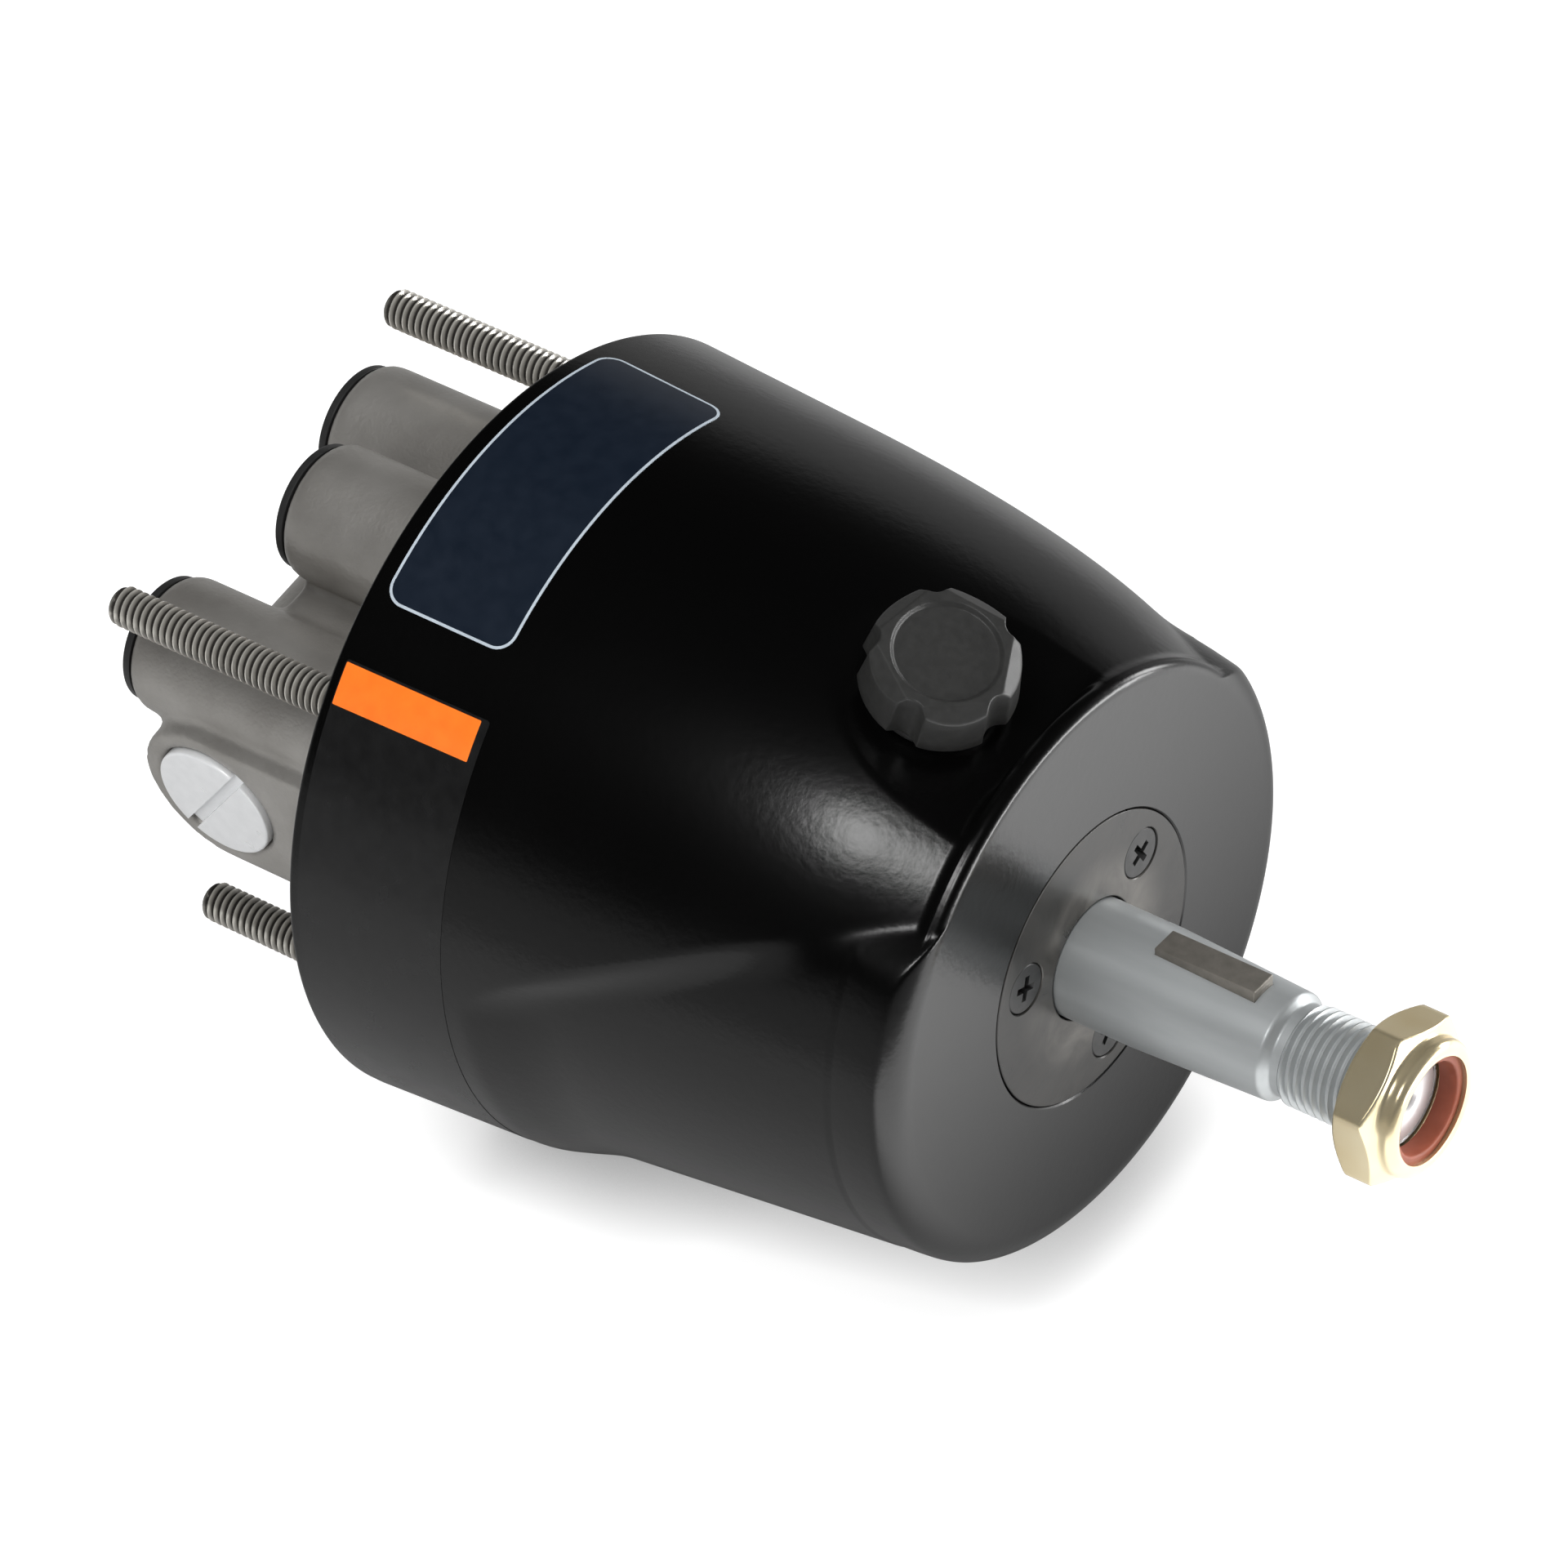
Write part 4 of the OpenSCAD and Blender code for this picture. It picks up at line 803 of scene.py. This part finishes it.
def makeCap():
    c = cap
    angle = np.arange(c["columns"]) * 2 * np.pi / c["columns"]
    step = 2 * np.pi / c["lobes"]
    lobe = (angle - math.radians(c["turn"]) + step / 2) % step - step / 2  # angle from the middle of the nearest lobe
    rows = list(c["stemRows"])
    full = capOutline(angle, c["reach"])
    e = c["edge"]
    for turn in (0, 30, 60, 90):
        a = math.radians(turn)
        rows.append((full - e + e * math.sin(a), c["low"] + e - e * math.cos(a)))
    side = full - c["flare"]
    lip = capRoof(side, lobe)
    for share in (0.25, 0.5, 0.75, 1.0):
        rows.append((full + (side - full) * share, c["low"] + e + (lip - c["lip"] - c["low"] - e) * share))
    for turn in (30, 60, 90):
        a = math.radians(turn)
        inner = side - c["lip"] * (1 - math.cos(a))
        rows.append((inner, capRoof(inner, lobe) - c["lip"] + c["lip"] * math.sin(a)))
    ringEnd = c["dish"] + c["dishEdge"]
    for share in np.linspace(0, 1, 19)[1:]:
        inner = side - c["lip"] + (ringEnd - side + c["lip"]) * share
        rows.append((inner, capRoof(inner, lobe)))
    for share in np.linspace(0.15, 1, 7):
        fall = c["dishDeep"] * (0.5 - 0.5 * math.cos(math.pi * share))
        rows.append((ringEnd - c["dishWide"] * share, c["top"] - fall))
    floor = c["top"] - c["dishDeep"]
    rows += [(r, floor - c["dishSag"] * (1 - (r / c["dishFlat"]) ** 2)) for r in c["dishRings"]]
    points, faces = turned(rows, c["columns"])
    piece = solid("fillerCap", points, faces, padFrame, 55)
    dress(piece, "filler", "cap_plastic", finishes["cap"], "filler_cap")
    print("cap moulded")


makeCap()

# retainer plate, its countersinks and cross-recessed screws
retainer = {
    "outer": 23.5, "bore": 9.83, "rear": 98.0, "front": 102.5, "edge": 0.3,
    "screwCircle": 17.0, "screwAngles": (30, 150, 270), "head": 4.0, "headFlat": 0.45, "shank": 2.0,
    "long": 10.0, "sink": 0.15, "room": 0.12, "cutOver": 0.5, "cutEdge": 0.18,
    "headEdge": 0.14, "headIn": 0.16, "crownAt": 1.0, "crown": 0.05,
    "crossLong": 5.0, "crossWide": 1.15, "crossDeep": 1.5, "crossTurn": (20, 62, 40), "crossOver": 0.4,
    "crossLongLow": 0.35, "crossWideLow": 0.7,  # what is left of the cross at its floor
}


def screwRows(grow):
    r = retainer
    front, head, shank = r["front"], r["head"] + grow, r["shank"] + grow
    rear, flat = front - r["long"], front - r["sink"] - r["headFlat"]
    rows = [(axisEnd, rear), (shank, rear), (shank, flat - r["head"] + r["shank"]), (head, flat)]
    if grow:  # the countersink that the screw lies in
        top = front + r["cutOver"]
        return rows + [(head, front - r["cutEdge"]), (head + r["cutOver"], top), (axisEnd, top)]
    top = front - r["sink"]
    crown = top + r["crown"]
    return rows + [(head, top - r["headEdge"]), (head - r["headIn"], top), (r["crownAt"], crown), (axisEnd, crown)]


def makeRetainer():
    r = retainer
    inner, outer, back, front = r["bore"], r["outer"], r["rear"], r["front"]
    rows = rounded([(inner, back), (inner, front), (outer, front), (outer, back), (inner, back)],
                   [0.25, r["edge"], 0.2])
    points, faces = turned(rows[:-1], 192, closed=True)
    plate = solid("retainerPlate", points, faces, shaftFrame, 30)
    screws = []
    for angle, cross in zip(r["screwAngles"], r["crossTurn"]):
        a = math.radians(angle)
        place = shaftFrame @ Matrix.Translation((r["screwCircle"] * math.cos(a), r["screwCircle"] * math.sin(a), 0))
        points, faces = turned(screwRows(r["room"]), 64)
        carved(plate, solid("sinkCut", points, faces, place, 30), sharp=30)
        points, faces = turned(screwRows(0.0), 64)
        screw = solid("retainerScrew", points, faces, place, 30)
        for extra in (0, 90):
            turn = place @ Matrix.Rotation(math.radians(cross + extra), 4, "Z")
            long, wide = r["crossLong"] / 2, r["crossWide"] / 2
            points = []
            for z, x, y in ((front - r["sink"] - r["crossDeep"], long * r["crossLongLow"], wide * r["crossWideLow"]),
                            (front + r["crossOver"], long, wide)):
                points += [(-x, -y, z), (x, -y, z), (x, y, z), (-x, y, z)]
            faces = [(0, 3, 2, 1), (4, 5, 6, 7), (0, 1, 5, 4), (1, 2, 6, 5), (2, 3, 7, 6), (3, 0, 4, 7)]
            carved(screw, solid("crossCut", points, faces, turn, 30), sharp=30)
        screws.append(screw)
    dress(plate, "housing", "plate_paint", finishes["plate"], "retainer_plate")
    dress(joined("retainerScrews", screws), "housing", "screw_black", finishes["screwBlack"], "retainer_screws")
    print("retainer fitted")


makeRetainer()

# rear casting: the solid's own form with soft cast corners
casting = {"voxel": 0.75, "smooth": 6, "ease": 0.55}


def makeCasting():
    copy = bpy.data.objects.new("rearCasting", nodes["rear_casting"].data.copy())
    bpy.context.scene.collection.objects.link(copy)
    remesh = copy.modifiers.new("cast", "REMESH")
    remesh.mode, remesh.voxel_size, remesh.use_smooth_shade = "VOXEL", casting["voxel"] / 1000, True
    soft = copy.modifiers.new("soft", "SMOOTH")
    soft.factor, soft.iterations = casting["ease"], casting["smooth"]
    settled(copy)
    copy.data.shade_smooth()
    print("casting:", len(copy.data.polygons), "faces")
    dress(copy, "housing", "cast_aluminium", finishes["cast"], "rear_casting")


makeCasting()

# shipping plugs and the slotted plugs of the lock valve
plugs = {
    "ports": {"right": (24.5, 50.0, 14.7), "left": (-24.5, 50.0, 14.7), "top": (0.0, 36.0, 27.6)},
    "portHead": 10.05, "portThick": 1.4, "portStem": 6.8, "portLong": 10.0, "portEdge": 0.45, "portGap": 0.02,
    "valveBack": 34.7, "valveHigh": -0.5, "valveFace": 38.0, "valveHead": 10.25, "valveProud": 0.6, "valveThick": 4.0,
    "valveBody": 7.95, "valveLong": 5.0, "slotWide": 1.9, "slotDeep": 1.5, "slotTurn": 52.0,
    "slotHalf": 14.0, "slotOver": 2.0,
}


def makePlugs():
    p = plugs
    for side, spot in p["ports"].items():
        place = axisFrame(spot, (0, 1, 0), (1, 0, 0))
        stem, head, under, low, top = p["portStem"], p["portHead"], p["portGap"], -p["portLong"], p["portThick"]
        rows = rounded([(axisEnd, low), (stem, low), (stem, under), (head, under), (head, top), (axisEnd, top)],
                       [0.4, 0, 0.15, p["portEdge"]])
        points, faces = turned(rows, 96)
        plug = solid("portPlug_" + side, points, faces, place, 40)
        dress(plug, "housing", "port_plastic", finishes["portPlastic"], "port_plug_" + side)
    for side, sign in (("right", 1), ("left", -1)):
        place = axisFrame((0, p["valveBack"], p["valveHigh"]), (sign, 0, 0), (0, 1, 0))
        body, head, face = p["valveBody"], p["valveHead"], p["valveFace"] + p["valveProud"]
        under = p["valveFace"] - p["valveThick"]
        low = under - p["valveLong"]
        rows = rounded([(axisEnd, low), (body, low), (body, under), (head, under), (head, face), (axisEnd, face)],
                       [0.3, 0, 0.2, 0.5])
        points, faces = turned(rows, 128)
        plug = solid("valvePlug_" + side, points, faces, place, 32)
        turn = place @ Matrix.Rotation(math.radians(-sign * p["slotTurn"]), 4, "Z")
        half, wide = p["slotHalf"], p["slotWide"] / 2
        slot = box("slotCut", (-half, -wide, face - p["slotDeep"]), (half, wide, face + p["slotOver"]), turn)
        carved(plug, slot)
        dress(plug, "housing", "plug_zinc", finishes["bright"], "valve_plug_" + side)
    print("plugs fitted")


makePlugs()


def makeSprings():
    for side, sign in (("right", 1), ("left", -1)):
        node = "check_spring_" + side
        spring = bpy.data.objects.new("checkSpring_" + side, nodes[node].data.copy())
        bpy.context.scene.collection.objects.link(spring)
        dress(spring, "housing", "spring_steel", finishes["spring"], node)
        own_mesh(spring)
    print("springs set")


makeSprings()

# carried-over solids that are right as they are
plainNodes = {
    "casting_seal": "rubber", "casting_screws": "zinc", "shaft_seal": "rubber", "bearing_outer_race": "bearing",
    "bearing_clip": "spring", "swash_plate": "machined", "swash_pins": "machined", "thrust_race": "bearing",
    "valve_plate": "bronze", "valve_pins": "machined", "plug_seal_right": "rubber", "plug_seal_left": "rubber",
    "check_seat_right": "machined", "check_seat_left": "machined", "check_poppet_right": "bronze",
    "check_poppet_left": "bronze", "lock_spool": "machined", "bearing_inner_race": "bearing", "rotor": "machined",
    "bearing_balls": "bearing", "bearing_cage": "bronze", "filler_seal": "rubber",
}
for number in range(1, 8):
    plainNodes["piston_%d" % number] = "bearing"
    plainNodes["piston_spring_%d" % number] = "spring"
for name, finish in plainNodes.items():
    nodes[name].data.materials.clear()
    nodes[name].data.materials.append(finishes[finish].material)
print("solids finished:", len(plainNodes))
